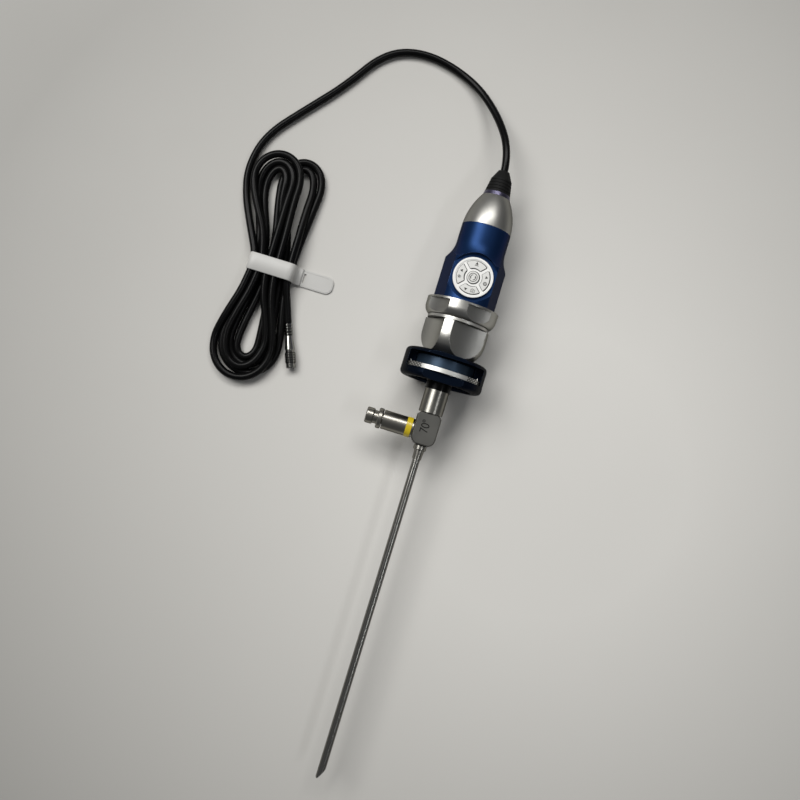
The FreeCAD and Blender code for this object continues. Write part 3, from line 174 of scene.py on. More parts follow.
# Each turn: strand down through the strap, lower lobe, strand up, upper lobe.
# A strand is (x, z); a lobe is its two sides as (x, z), then where its arc starts and ends along Y.
HANK_TURNS = [
    ((COLUMNS[0], STRAND_HIGH), ((-125.2, ON_TABLE), (-92.8, CLIMBING), -12.0, -29.8),
     (-103.4, STRAND_HIGH), ((-105.2, OVER_ONE), (-130.6, 5.4), 81.0, 95.0)),
    ((COLUMNS[1], STRAND_HIGH), ((-119.0, 5.4), (-97.4, CLIMBING), -8.0, -23.6),
     (COLUMNS[2], STRAND_HIGH), ((-108.9, OVER_ONE), (-127.2, ON_TABLE), 79.0, 91.2)),
    ((COLUMNS[0], STRAND_LOW), ((-121.1, ON_TABLE), (-90.2, ON_TABLE), -10.0, -26.0),
     (COLUMNS[5], STRAND_LOW), ((-93.6, ON_TABLE), (-115.5, ON_TABLE), 82.0, 95.3)),
    ((COLUMNS[2], STRAND_LOW), ((-112.6, ON_TABLE), (-101.4, ON_TABLE), -10.0, -17.8),
     (COLUMNS[3], STRAND_LOW), ((-112.6, OVER_ONE), (-123.2, ON_TABLE), 77.0, 87.4)),
    ((COLUMNS[1], STRAND_LOW), ((-117.0, ON_TABLE), (-95.2, ON_TABLE), -8.0, -21.6),
     (COLUMNS[4], STRAND_LOW), ((-111.4, ON_TABLE), (-97.6, 3.4), 79.0, 91.2)),
]
ARC_STEPS = 6
ARC_SWELL = 1.035
RUN_STEPS = (0.3, 0.55, 0.8)
LOBE_START = 5.0


def eased(step):
    return step * step * (3 - 2 * step)


def run_points(strand, side, shoulder, edge):
    """Points along one side of a lobe, from the strap out to where its arc begins."""
    points = []
    for step in RUN_STEPS:
        rise = step * step if strand[1] > side[1] else eased(step)
        points.append((strand[0] + (side[0] - strand[0]) * eased(step),
                       edge + (shoulder - edge) * step,
                       strand[1] + (side[1] - strand[1]) * rise))
    return points


def lobe_points(start, end, side, other, shoulder, apex):
    """One loose lobe of the hank: out along one side, round its end and back."""
    edge = TIE_MIDDLE + (LOBE_START if apex > TIE_MIDDLE else -LOBE_START)
    middle, half = (side[0] + other[0]) / 2, (side[0] - other[0]) / 2
    arc = []
    for step in range(ARC_STEPS + 1):
        angle = math.pi * step / ARC_STEPS
        arc.append((middle + half * math.cos(angle) * ARC_SWELL,
                    shoulder + (apex - shoulder) * math.sin(angle) * ARC_SWELL,
                    side[1] + (other[1] - side[1]) * step / ARC_STEPS))
    back = run_points(end, other, shoulder, edge)
    return run_points(start, side, shoulder, edge) + arc + back[::-1]


def cord_points():
    points = list(LEAD_POINTS)
    starts = [turn[0] for turn in HANK_TURNS[1:]] + [(TAIL_COLUMN, STRAND_HIGH)]
    for (down, lower, up, upper), after in zip(HANK_TURNS, starts):
        points.append((down[0], TIE_MIDDLE + TIE_HALF, down[1]))
        points.append((down[0], TIE_MIDDLE - TIE_HALF, down[1]))
        points += lobe_points(down, up, *lower)
        points.append((up[0], TIE_MIDDLE - TIE_HALF, up[1]))
        points.append((up[0], TIE_MIDDLE + TIE_HALF, up[1]))
        points += lobe_points(up, after, *upper)
    return points + TAIL_POINTS


def add_cord(material):
    points = in_metres(cord_points())
    data = bpy.data.curves.new("cord", "CURVE")
    data.dimensions = "3D"
    data.resolution_u = CORD_STEPS
    data.bevel_depth = CORD_RADIUS * MM
    data.bevel_resolution = CORD_SIDES
    data.use_fill_caps = True
    spline = data.splines.new("NURBS")
    spline.points.add(len(points) - 1)
    for control, place in zip(spline.points, points):
        control.co = (*place, 1)
    spline.order_u = 3
    spline.use_endpoint_u = True
    data.materials.append(material)
    piece = link(bpy.data.objects.new("cord", data))
    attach(piece, "head")
    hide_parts("cord_lead", "cord_hank", "cord_tail")


# Strap that ties the hank

STRAP_WIDTH = 9.6
STRAP_THICKNESS = 1.0
STRAP_FRONT = 28.5
STRAP_CHAMFER = 0.28
# The strap's middle line in X and Z, from the free tail, round the hank and back under it
STRAP_LINE = [
    (-93.6, 0.55), (-98, 0.55), (-106, 0.55), (-114, 0.55), (-117.4, 0.6), (-118.8, 1.6),
    (-118.95, 3.4), (-118.85, 5.4), (-118.75, 7.4), (-118.1, 9.2), (-116.4, 9.76),
    (-113.0, 9.72), (-109.0, 9.75), (-105.0, 9.72), (-101.0, 9.76), (-98.0, 9.74),
    (-96.0, 9.72), (-94.4, 9.1), (-93.6, 7.6),
    (-93.5, 5.2), (-93.1, 2.9), (-92.3, 1.6), (-90.8, 1.3), (-89.4, 1.25),
]


def smooth_line(points, steps=4):
    """A rounder line through the middles of a line's runs."""
    line = [Vector(point) for point in points]
    rounder = [line[0]]
    for before, corner, after in zip(line, line[1:], line[2:]):
        start, end = (before + corner) / 2, (corner + after) / 2
        for step in range(steps):
            part = step / steps
            rest = 1 - part
            rounder.append(start * rest ** 2 + corner * 2 * part * rest + end * part ** 2)
    return rounder + [(line[-2] + line[-1]) / 2, line[-1]]


def strap_mesh(material):
    line = smooth_line(STRAP_LINE)
    half = STRAP_THICKNESS / 2
    back = STRAP_FRONT + STRAP_WIDTH
    shell = bmesh.new()
    edge = STRAP_CHAMFER
    rings = []
    for place, point in enumerate(line):
        ahead = line[min(place + 1, len(line) - 1)] - line[max(place - 1, 0)]
        side = Vector((-ahead.y, ahead.x)).normalized()
        ring = []
        for across, along in ((-half + edge, STRAP_FRONT), (half - edge, STRAP_FRONT),
                              (half, STRAP_FRONT + edge), (half, back - edge),
                              (half - edge, back), (-half + edge, back),
                              (-half, back - edge), (-half, STRAP_FRONT + edge)):
            spot = point + side * across
            ring.append(shell.verts.new((spot.x * MM, along * MM, spot.y * MM)))
        rings.append(ring)
    for first, second in zip(rings, rings[1:]):
        for place in range(len(first)):
            after = (place + 1) % len(first)
            shell.faces.new((first[place], first[after], second[after], second[place]))
    shell.faces.new(rings[0][::-1])
    shell.faces.new(rings[-1])
    bmesh.ops.recalc_face_normals(shell, faces=shell.faces)
    mesh = bpy.data.meshes.new("tie_strap")
    shell.to_mesh(mesh)
    shell.free()
    mesh.materials.append(material)
    for face in mesh.polygons:
        face.use_smooth = True
    piece = link(bpy.data.objects.new("tie_strap", mesh))
    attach(piece, "head")
    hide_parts("cable_tie")


TAIL_START = -93.4
TAIL_END = -71.5
TAIL_CORNER = 3.8
TAIL_SLOT = (-88.6, -87.4, 30.7, 35.9)
TAIL_BASE = 0.05
TAIL_TOP = 0.95
RIM_START = TAIL_START + 1
RIM_SINK = 0.05
RIM_INSET = 0.75
RIM_WIDTH = 0.35
RIM_RISE = 0.14


def rounded_end(left, right, front, back, corner, steps=8):
    """Corner points of a strip whose right end has rounded corners, anticlockwise."""
    points = [(left, back), (left, front)]
    for x, y, first in ((right - corner, front + corner, -90), (right - corner, back - corner, 0)):
        for step in range(steps + 1):
            angle = math.radians(first + 90 * step / steps)
            points.append((x + corner * math.cos(angle), y + corner * math.sin(angle)))
    return points


def strap_tail(material):
    """The strap's flat free end with its slot and the thin raised rim."""
    back = STRAP_FRONT + STRAP_WIDTH
    outline = rounded_end(TAIL_START, TAIL_END, STRAP_FRONT, back, TAIL_CORNER)
    left, right, low, high = TAIL_SLOT
    slot = [(left, low), (right, low), (right, high), (left, high)]
    shell = bmesh.new()
    add_plate(shell, [outline, slot], TAIL_BASE, TAIL_TOP)
    rim = rounded_end(RIM_START, TAIL_END - RIM_INSET, STRAP_FRONT + RIM_INSET,
                      back - RIM_INSET, TAIL_CORNER - RIM_INSET)
    add_stroke(shell, rim[1:] + rim[:1], RIM_WIDTH, TAIL_TOP - RIM_SINK, TAIL_TOP + RIM_RISE)
    piece = flat_piece("strap_tail", shell, material)
    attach(piece, "head")


# Flat plates and strokes, for prints, seams and rims. Places are in millimetres.

LEAST_LEAN = 0.4        # keeps sharp corners of a stroke from running out to a long point


def add_plate(shell, outlines, low, high):
    """A flat plate between two heights; the outlines after the first are holes."""
    tops = []
    for points in outlines:
        top = [shell.verts.new((x * MM, y * MM, high * MM)) for x, y in points]
        base = [shell.verts.new((x * MM, y * MM, low * MM)) for x, y in points]
        for place in range(len(points)):
            after = (place + 1) % len(points)
            shell.faces.new((base[place], base[after], top[after], top[place]))
        tops.append((top, base))
    for level in (0, 1):
        edges = []
        for rows in tops:
            row = rows[level]
            for place in range(len(row)):
                edges.append(shell.edges.get((row[place], row[(place + 1) % len(row)])))
        bmesh.ops.triangle_fill(shell, use_beauty=True, edges=edges)


def add_stroke(shell, points, width, low, high, closed=False):
    """A flat bar of even width along a line."""
    line = [Vector(point) for point in points]
    rows = []
    count = len(line)
    for place, point in enumerate(line):
        before = line[place - 1] if closed or place else line[place]
        after = line[(place + 1) % count] if closed or place < count - 1 else line[place]
        first, second = (point - before), (after - point)
        if not first.length:
            first = second
        if not second.length:
            second = first
        first, second = first.normalized(), second.normalized()
        mitre = Vector((-(first.y + second.y), first.x + second.x)).normalized()
        lean = max(LEAST_LEAN, mitre.dot(Vector((-first.y, first.x))))
        side = mitre * (width / 2 / lean)
        rows.append([shell.verts.new((spot.x * MM, spot.y * MM, height * MM))
                     for spot, height in ((point - side, low), (point + side, low),
                                          (point + side, high), (point - side, high))])
    pairs = list(zip(rows, rows[1:])) + ([(rows[-1], rows[0])] if closed else [])
    for first, second in pairs:
        for place in range(4):
            after = (place + 1) % 4
            shell.faces.new((first[place], second[place], second[after], first[after]))
    if not closed:
        shell.faces.new(rows[0])
        shell.faces.new(rows[-1][::-1])


def flat_piece(name, shell, material, turn=None):
    bmesh.ops.recalc_face_normals(shell, faces=shell.faces)
    mesh = bpy.data.meshes.new(name)
    shell.to_mesh(mesh)
    shell.free()
    if turn:
        mesh.transform(turn)
    mesh.materials.append(material)
    return link(bpy.data.objects.new(name, mesh))


def ring_points(x, y, radius, steps=24, first=0.0, sweep=360.0, squeeze=1.0):
    """Points on a circle, an oval or an arc."""
    full = abs(sweep) >= 360
    count = steps if full else steps + 1
    points = []
    for step in range(count):
        angle = math.radians(first + sweep * step / steps)
        points.append((x + radius * squeeze * math.cos(angle), y + radius * math.sin(angle)))
    return points


# Copies of one stroke, turned evenly about a middle


def turned_tree():
    """Geometry Nodes: copies of a shape, turned about a middle by even steps."""
    tree = bpy.data.node_groups.new("Turned copies", "GeometryNodeTree")
    socket(tree, "Geometry", "NodeSocketGeometry", "INPUT")
    socket(tree, "Count", "NodeSocketInt", "INPUT", KEY_COUNT)
    socket(tree, "Middle", "NodeSocketVector", "INPUT")
    socket(tree, "Material", "NodeSocketMaterial", "INPUT")
    socket(tree, "Geometry", "NodeSocketGeometry", "OUTPUT")
    entry = tree.nodes.new("NodeGroupInput")
    out = tree.nodes.new("NodeGroupOutput")
    points = tree.nodes.new("GeometryNodePoints")
    index = tree.nodes.new("GeometryNodeInputIndex")
    euler = tree.nodes.new("ShaderNodeCombineXYZ")
    turn = tree.nodes.new("FunctionNodeEulerToRotation")
    copies = tree.nodes.new("GeometryNodeInstanceOnPoints")
    real = tree.nodes.new("GeometryNodeRealizeInstances")
    dressed = tree.nodes.new("GeometryNodeSetMaterial")
    step = math_node(tree, "DIVIDE", math.tau, entry.outputs["Count"])
    for source, target in (
            (entry.outputs["Count"], points.inputs["Count"]),
            (entry.outputs["Middle"], points.inputs["Position"]),
            (math_node(tree, "MULTIPLY", step, index.outputs["Index"]), euler.inputs["Z"]),
            (euler.outputs["Vector"], turn.inputs["Euler"]),
            (points.outputs["Points"], copies.inputs["Points"]),
            (entry.outputs["Geometry"], copies.inputs["Instance"]),
            (turn.outputs["Rotation"], copies.inputs["Rotation"]),
            (copies.outputs["Instances"], real.inputs["Geometry"]),
            (real.outputs["Geometry"], dressed.inputs["Geometry"]),
            (entry.outputs["Material"], dressed.inputs["Material"]),
            (dressed.outputs["Geometry"], out.inputs["Geometry"])):
        tree.links.new(source, target)
    return tree


def add_turned(shell, points, width, heights, closed, count, middle, material):
    """Adds a stroke drawn about the origin, copied round a middle by the tree above."""
    seed = bmesh.new()
    add_stroke(seed, points, width, *heights, closed)
    mesh = bpy.data.meshes.new("stroke")
    seed.to_mesh(mesh)
    seed.free()
    holder = link(bpy.data.objects.new("stroke", mesh))
    copies = holder.modifiers.new("Turned copies", "NODES")
    copies.node_group = TURNED
    for name, value in (("Count", count), ("Middle", in_metres([(*middle, 0)])[0]),
                        ("Material", material)):
        copies[TURNED.interface.items_tree[name].identifier] = value
    depsgraph = bpy.context.evaluated_depsgraph_get()
    result = bpy.data.meshes.new_from_object(holder.evaluated_get(depsgraph), depsgraph=depsgraph)
    holder.modifiers.clear()
    shell.from_mesh(result)
    bpy.data.objects.remove(holder)
    for done in (mesh, result):
        bpy.data.meshes.remove(done)


# Keypad: dark seams round the keys, partly the real gaps and partly painted shadow, and the grey
# symbols on them

KEYPAD_PLACE = 55.2
KEY_OUTER = 8.6
KEY_INNER = 4.9
KEY_WEB = 1.0
CENTRE_KEY = 3.1
PANEL_TOP = 32.8
KEY_TOP = 32.9
KEY_COUNT = 4           # curved keys round the centre key
HALF_KEY = 45           # degrees
KEY_CORNER = 0.35       # how far the corners of a curved key are cut back
KEY_TRIM = 3.5          # degrees by which its arcs end before its corners
CORNER_TRIM = 0.3 * KEY_TRIM
# The seams are wider than the gaps round the keys and shifted towards +X and -Y, so the dark band
# on that side is painted shadow.
SEAM_WIDTH = 0.56
SEAM_OFFSET = 0.12
SEAM_SHADOW_SHIFT = (0.17, -0.10)
SEAM_SINK = 0.1
SEAM_RISE = 0.04


def polar(radius, angle):
    turn = math.radians(angle)
    return radius * math.cos(turn), radius * math.sin(turn)


def key_line(grow):
    """The rounded outline of the upper key about the keypad's middle, grown outwards."""
    outer, inner, web = KEY_OUTER + grow, KEY_INNER - grow, KEY_WEB - grow
    wide = HALF_KEY - math.degrees(math.asin(web / outer))
    narrow = HALF_KEY - math.degrees(math.asin(web / inner))
    points = ring_points(0, 0, outer, 10, 90 + wide - KEY_TRIM, -2 * (wide - KEY_TRIM))
    points.append(polar(outer - KEY_CORNER, 90 - wide + CORNER_TRIM))
    points.append(polar(inner + KEY_CORNER, 90 - narrow + CORNER_TRIM))
    points += ring_points(0, 0, inner, 8, 90 - narrow + 2 * KEY_TRIM, 2 * (narrow - 2 * KEY_TRIM))
    points.append(polar(inner + KEY_CORNER, 90 + narrow - CORNER_TRIM))
    points.append(polar(outer - KEY_CORNER, 90 + wide - CORNER_TRIM))
    return points


def key_seams_and_shadows(material):
    shell = bmesh.new()
    # Shifted middle: the seams lie wider on one side of each key, as painted shadow.
    middle = (SEAM_SHADOW_SHIFT[0], KEYPAD_PLACE + SEAM_SHADOW_SHIFT[1])
    heights = (PANEL_TOP - SEAM_SINK, PANEL_TOP + SEAM_RISE)
    add_turned(shell, key_line(SEAM_OFFSET), SEAM_WIDTH, heights, True, KEY_COUNT, middle, material)
    ring = ring_points(*middle, CENTRE_KEY + SEAM_OFFSET, 40)
    add_stroke(shell, ring, SEAM_WIDTH, *heights, True)
    piece = flat_piece("key_seams_and_shadows", shell, material)
    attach(piece, "head")


PRINT_LINE = 0.36
CENTRE_LINE = 0.34
THIN_LINE = 0.2
PRINT_HEIGHTS = (KEY_TOP - 0.05, KEY_TOP + 0.02)
ARROW = 0.95
SMALL_ARROW = 0.55
UP_ARROW = (0, 62.6)
UP_BAR = [(-1.0, 61.6), (1.0, 61.6)]
LEFT_ARROW = (-6.6, 57.0)
RIGHT_ARROW = (6.7, 57.0)
DOWN_ARROW = (-2.0, 48.4)
LAMP_PLACE = (-7.0, 53.7)
LAMP_RADIUS = 0.42
LAMP_RAYS = 8
LAMP_RAY = [(0.68, 0), (1.0, 0)]
TARGET_PLACE = (6.9, 53.7)
TARGET_RADII = (0.85, 0.35)
CAMERA_OUTLINE = [(0.75, 47.6), (2.85, 47.6), (2.85, 49.0), (2.2, 49.0), (2.0, 49.35), (1.3, 49.35),
                  (1.1, 49.0), (0.75, 49.0)]
CAMERA_EYE = (1.75, 48.3)
CENTRE_RADII = (2.15, 1.3)
CENTRE_ARCS = (100, 280)        # degrees at which the two arcs start, and how far they reach
CENTRE_SWEEP = 130
CENTRE_ARROW = (1.25, 0.25)


def arrow(shell, x, y, size, angle):
    turn = math.radians(angle)
    points = [(x + a * math.cos(turn) - b * math.sin(turn),
               y + a * math.sin(turn) + b * math.cos(turn))
              for a, b in ring_points(0, 0, size, 3, 90)]
    add_plate(shell, [points], *PRINT_HEIGHTS)


def print_line(shell, points, closed=False, width=PRINT_LINE):
    add_stroke(shell, points, width, *PRINT_HEIGHTS, closed)


def up_print(shell):
    """An arrow over a bar."""
    arrow(shell, *UP_ARROW, ARROW, 0)
    print_line(shell, UP_BAR)


def left_print(shell):
    """An arrow and a small lamp with rays."""
    arrow(shell, *LEFT_ARROW, ARROW, 90)
    print_line(shell, ring_points(*LAMP_PLACE, LAMP_RADIUS, 12), True)
    add_turned(shell, LAMP_RAY, THIN_LINE, PRINT_HEIGHTS, False, LAMP_RAYS, LAMP_PLACE, INK)


def right_print(shell):
    """An arrow and two rings."""
    arrow(shell, *RIGHT_ARROW, ARROW, -90)
    print_line(shell, ring_points(*TARGET_PLACE, TARGET_RADII[0], 20), True)
    print_line(shell, ring_points(*TARGET_PLACE, TARGET_RADII[1], 12), True, THIN_LINE)


def down_print(shell):
    """An arrow and a small camera."""
    arrow(shell, *DOWN_ARROW, ARROW, 180)
    print_line(shell, CAMERA_OUTLINE, True, THIN_LINE)
    print_line(shell, ring_points(*CAMERA_EYE, LAMP_RADIUS, 12), True, THIN_LINE)


def centre_print(shell):
    """A ring round two arcs that chase each other."""
    print_line(shell, ring_points(0, KEYPAD_PLACE, CENTRE_RADII[0], 36), True, CENTRE_LINE)
    for first in CENTRE_ARCS:
        arc = ring_points(0, KEYPAD_PLACE, CENTRE_RADII[1], 14, first, CENTRE_SWEEP)
        print_line(shell, arc, width=CENTRE_LINE)
    x, rise = CENTRE_ARROW
    arrow(shell, -x, KEYPAD_PLACE - rise, SMALL_ARROW, 180)
    arrow(shell, x, KEYPAD_PLACE + rise, SMALL_ARROW, 0)


def key_prints(material):
    for side, draw in (("up", up_print), ("left", left_print), ("right", right_print),
                       ("down", down_print), ("centre", centre_print)):
        shell = bmesh.new()
        draw(shell)
        piece = flat_piece("print_" + side, shell, material)
        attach(piece, "key_" + side)


# Viewing angle marked on the block's top face. The digits read along the shaft.

BLOCK_TOP = 25.2
MARK_PLACE = (-0.9, -26.4)
DIGIT_HEIGHT = 4.0
DIGIT_WIDTH = 2.0
DIGIT_PITCH = 2.75
MARK_LINE = 0.55
MARK_RISE = 0.03
MARK_SINK = 0.01
SEVEN_KNEE = (0.1, 0.45)        # corners of the seven, as shares of the digit's width and height
SEVEN_FOOT = (-0.15, 0.0)
DEGREE_PLACE = (1.78, 0.84)     # shares of the pitch and of the digit's height
DEGREE_RADIUS = 0.6
DEGREE_LINE = MARK_LINE * 0.75
MARK_MIDDLE = (0.62, 0.5)       # what lies over MARK_PLACE, in the same shares


def angle_mark(material):
    shell = bmesh.new()
    half = DIGIT_WIDTH / 2
    seven = [(-half, DIGIT_HEIGHT), (half, DIGIT_HEIGHT)]
    seven += [(DIGIT_WIDTH * x, DIGIT_HEIGHT * y) for x, y in (SEVEN_KNEE, SEVEN_FOOT)]
    add_stroke(shell, seven, MARK_LINE, 0, MARK_RISE)
    zero = ring_points(DIGIT_PITCH, DIGIT_HEIGHT / 2, DIGIT_HEIGHT / 2, 28, squeeze=half / 2)
    add_stroke(shell, zero, MARK_LINE, 0, MARK_RISE, True)
    degree = ring_points(DIGIT_PITCH * DEGREE_PLACE[0], DIGIT_HEIGHT * DEGREE_PLACE[1],
                         DEGREE_RADIUS, 16)
    add_stroke(shell, degree, DEGREE_LINE, 0, MARK_RISE, True)
    middle = Matrix.Translation((-DIGIT_PITCH * MARK_MIDDLE[0] * MM,
                                 -DIGIT_HEIGHT * MARK_MIDDLE[1] * MM, 0))
    along = Matrix.Rotation(math.radians(90), 4, "Z")
    place = Matrix.Translation(in_metres([(*MARK_PLACE, BLOCK_TOP - MARK_SINK)])[0])
    piece = flat_piece("angle_mark", shell, material, place @ along @ middle)
    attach(piece, "scope")


# Finishes


CLOUD_DETAIL = 4.0
CLOUD_SPREAD = (0.3, 0.7)       # noise values at which the two colours are pure
GRAIN_DETAIL = 2.0


def tone_group():
    """Slow cloudy change of colour and roughness, and fine grain as a height."""
    tree = bpy.data.node_groups.new("Tone and grain", "ShaderNodeTree")
    socket(tree, "Vector", "NodeSocketVector", "INPUT")
    socket(tree, "Colour", "NodeSocketColor", "INPUT", (0.5, 0.5, 0.5, 1))
    socket(tree, "Second colour", "NodeSocketColor", "INPUT", (0.4, 0.4, 0.4, 1))
    socket(tree, "Cloud scale", "NodeSocketFloat", "INPUT", 60.0)
    socket(tree, "Grain scale", "NodeSocketFloat", "INPUT", 4000.0)
    socket(tree, "Roughness", "NodeSocketFloat", "INPUT", 0.35)
    socket(tree, "Roughness change", "NodeSocketFloat", "INPUT", 0.08)
    socket(tree, "Colour", "NodeSocketColor", "OUTPUT")
    socket(tree, "Roughness", "NodeSocketFloat", "OUTPUT")
    socket(tree, "Height", "NodeSocketFloat", "OUTPUT")
    entry = tree.nodes.new("NodeGroupInput")
    out = tree.nodes.new("NodeGroupOutput")
    cloud = noise(tree, entry.outputs["Vector"], entry.outputs["Cloud scale"], CLOUD_DETAIL)
    grain = noise(tree, entry.outputs["Vector"], entry.outputs["Grain scale"], GRAIN_DETAIL)
    spread = map_range(tree, cloud, *CLOUD_SPREAD, 0.0, 1.0)
    mixed = mix_colour(tree, spread, entry.outputs["Colour"], entry.outputs["Second colour"])
    tree.links.new(mixed, out.inputs["Colour"])
    change = math_node(tree, "MULTIPLY", math_node(tree, "SUBTRACT", spread, 0.5),
                       entry.outputs["Roughness change"])
    tree.links.new(math_node(tree, "ADD", change, entry.outputs["Roughness"]),
                   out.inputs["Roughness"])
    tree.links.new(grain, out.inputs["Height"])
    return tree


EDGE_RADIUS = 0.22
EDGE_LEANS = (0.995, 0.9)       # dot products of the two normals at mask 0 and 1


def edge_group():
    """A mask that is 1 along sharp edges, and the normal rounded over them."""
    tree = bpy.data.node_groups.new("Rounded edge", "ShaderNodeTree")
    socket(tree, "Radius", "NodeSocketFloat", "INPUT", EDGE_RADIUS * MM)
    socket(tree, "Normal", "NodeSocketVector", "OUTPUT")
    socket(tree, "Edge", "NodeSocketFloat", "OUTPUT")
    entry = tree.nodes.new("NodeGroupInput")
    out = tree.nodes.new("NodeGroupOutput")
    bevel = tree.nodes.new("ShaderNodeBevel")
    bevel.samples = 4
    tree.links.new(entry.outputs["Radius"], bevel.inputs["Radius"])
    plain = tree.nodes.new("ShaderNodeNewGeometry")
    dot = tree.nodes.new("ShaderNodeVectorMath")
    dot.operation = "DOT_PRODUCT"
    tree.links.new(bevel.outputs["Normal"], dot.inputs[0])
    tree.links.new(plain.outputs["Normal"], dot.inputs[1])
    mask = map_range(tree, dot.outputs["Value"], *EDGE_LEANS, 0.0, 1.0)
    tree.links.new(mask, out.inputs["Edge"])
    tree.links.new(bevel.outputs["Normal"], out.inputs["Normal"])
    return tree


TONE = tone_group()
EDGE = edge_group()
TURNED = turned_tree()


SECOND_SHARE = 0.88             # how bright the second colour is where none is given


def finish(name, colour, second=None, metallic=0.0, roughness=0.4, change=0.08, cloud=60.0,
           grain=3500.0, grain_height=0.004, stretch=(1, 1, 1), edge=None, coat=0.0,
           coat_roughness=0.1, ior=1.5, transmission=0.0, rim=None, marks=None,
           edge_radius=EDGE_RADIUS):
    """A finish with cloudy tone, fine grain, and a colour painted along its sharp edges.

    edge is (colour, roughness) for the sharp edges, or None: a lighter colour there is painted
    highlight, on the metals partly also polished cut edges, and a darker one is painted shade. rim
    is the colour that a metal reflects at its sides. marks is a function that changes part of the
    colour.
    """
    material = bpy.data.materials.new(name)
    material.use_nodes = True
    tree = material.node_tree
    shader = tree.nodes["Principled BSDF"]
    place = tree.nodes.new("ShaderNodeTexCoord")
    mapping = tree.nodes.new("ShaderNodeMapping")
    mapping.inputs["Scale"].default_value = stretch
    tree.links.new(place.outputs["Object"], mapping.inputs["Vector"])
    tone = tree.nodes.new("ShaderNodeGroup")
    tone.node_tree = TONE
    tree.links.new(mapping.outputs["Vector"], tone.inputs["Vector"])
    tone.inputs["Colour"].default_value = (*colour, 1)
    second = second or [value * SECOND_SHARE for value in colour]
    tone.inputs["Second colour"].default_value = (*second, 1)
    tone.inputs["Cloud scale"].default_value = cloud
    tone.inputs["Grain scale"].default_value = grain
    tone.inputs["Roughness"].default_value = roughness
    tone.inputs["Roughness change"].default_value = change
    bump = tree.nodes.new("ShaderNodeBump")
    bump.inputs["Strength"].default_value = 1.0
    bump.inputs["Distance"].default_value = grain_height * MM
    tree.links.new(tone.outputs["Height"], bump.inputs["Height"])
    surface_colour, surface_roughness = tone.outputs["Colour"], tone.outputs["Roughness"]
    if edge:
        edge_highlight_and_shade = tree.nodes.new("ShaderNodeGroup")
        edge_highlight_and_shade.node_tree = EDGE
        edge_highlight_and_shade.inputs["Radius"].default_value = edge_radius * MM
        tree.links.new(edge_highlight_and_shade.outputs["Normal"], bump.inputs["Normal"])
        # Colour painted along sharp edges: painted highlight where it is lighter, painted shade
        # where it is darker.
        surface_colour = mix_colour(tree, edge_highlight_and_shade.outputs["Edge"], surface_colour, (*edge[0], 1))
        surface_roughness = map_range(tree, edge_highlight_and_shade.outputs["Edge"], 0.0, 1.0, surface_roughness,
                                      edge[1])
    if marks:
        surface_colour = marks(tree, place.outputs["Object"], surface_colour)
    if rim:
        shader.inputs["Specular Tint"].default_value = (*rim, 1)
    tree.links.new(surface_colour, shader.inputs["Base Color"])
    tree.links.new(surface_roughness, shader.inputs["Roughness"])
    tree.links.new(bump.outputs["Normal"], shader.inputs["Normal"])
    shader.inputs["Metallic"].default_value = metallic
    shader.inputs["Coat Weight"].default_value = coat
    shader.inputs["Coat Roughness"].default_value = coat_roughness
    shader.inputs["IOR"].default_value = ior
    shader.inputs["Transmission Weight"].default_value = transmission
    return material


KNURL_START = 12.2              # from the middle of the plate outwards
KNURL_SLANTS = (45, -45)
KNURL_SCALE = 285.0
KNURL_DEPTHS = (0.15, 0.6)      # wave values at the groove and at its brim
# Painted shade in the knurl's grooves.
KNURL_SHADE = (0.10, 0.10, 0.095, 1)


def knurl_marks(tree, vector, colour):
    """Fine crossed cuts on both ends of the plain latch plate, drawn as painted shade in their
    grooves.
    """
    waves = []
    for slant in KNURL_SLANTS:
        turned = tree.nodes.new("ShaderNodeMapping")
        turned.inputs["Rotation"].default_value = (0, 0, math.radians(slant))
        tree.links.new(vector, turned.inputs["Vector"])
        wave = tree.nodes.new("ShaderNodeTexWave")
        wave.inputs["Scale"].default_value = KNURL_SCALE
        tree.links.new(turned.outputs["Vector"], wave.inputs["Vector"])
        waves.append(wave.outputs["Fac"])
    crossed = math_node(tree, "MINIMUM", waves[0], waves[1])
    parts = tree.nodes.new("ShaderNodeSeparateXYZ")
    tree.links.new(vector, parts.inputs["Vector"])
    side = math_node(tree, "ABSOLUTE", parts.outputs["X"])
    place = math_node(tree, "GREATER_THAN", side, KNURL_START * MM)
    groove = map_range(tree, crossed, *KNURL_DEPTHS, 1.0, 0.0)
    return mix_colour(tree, math_node(tree, "MULTIPLY", groove, place), colour, KNURL_SHADE)


PLUG_START = (-88.9, 6.9)       # the back of the plug
PLUG_TURN = 201.2               # degrees from +Y to the way it points
NICKEL = (0.36, 0.355, 0.335)
NICKEL_RIM = (0.12, 0.12, 0.115)
RELIEF_RINGS = (0.0, 0.8)       # where the rings start, and the width of a ring or a groove
SLEEVE_RIDGES = (16.3, 0.667)
# Painted shade on the groove floors between the plug's rings and ridges.
GROOVE_SHADE = (0.02, 0.02, 0.02, 1)


def groove_marks(start, width):
    """A marks function that paints shade into the grooves between a row of rings along the plug."""
    def marks(tree, vector, colour):
        turn = math.radians(PLUG_TURN)
        along = tree.nodes.new("ShaderNodeVectorMath")
        along.operation = "DOT_PRODUCT"
        along.inputs[1].default_value = (-math.sin(turn) / MM, math.cos(turn) / MM, 0)
        moved = tree.nodes.new("ShaderNodeMapping")
        moved.inputs["Location"].default_value = (-PLUG_START[0] * MM, -PLUG_START[1] * MM, 0)
        tree.links.new(vector, moved.inputs["Vector"])
        tree.links.new(moved.outputs["Vector"], along.inputs[0])
        reach = math_node(tree, "SUBTRACT", along.outputs["Value"], start)
        steps = math_node(tree, "DIVIDE", reach, 2 * width)
        groove = math_node(tree, "LESS_THAN", math_node(tree, "FRACT", steps), 0.5)
        return mix_colour(tree, groove, colour, GROOVE_SHADE)
    return marks


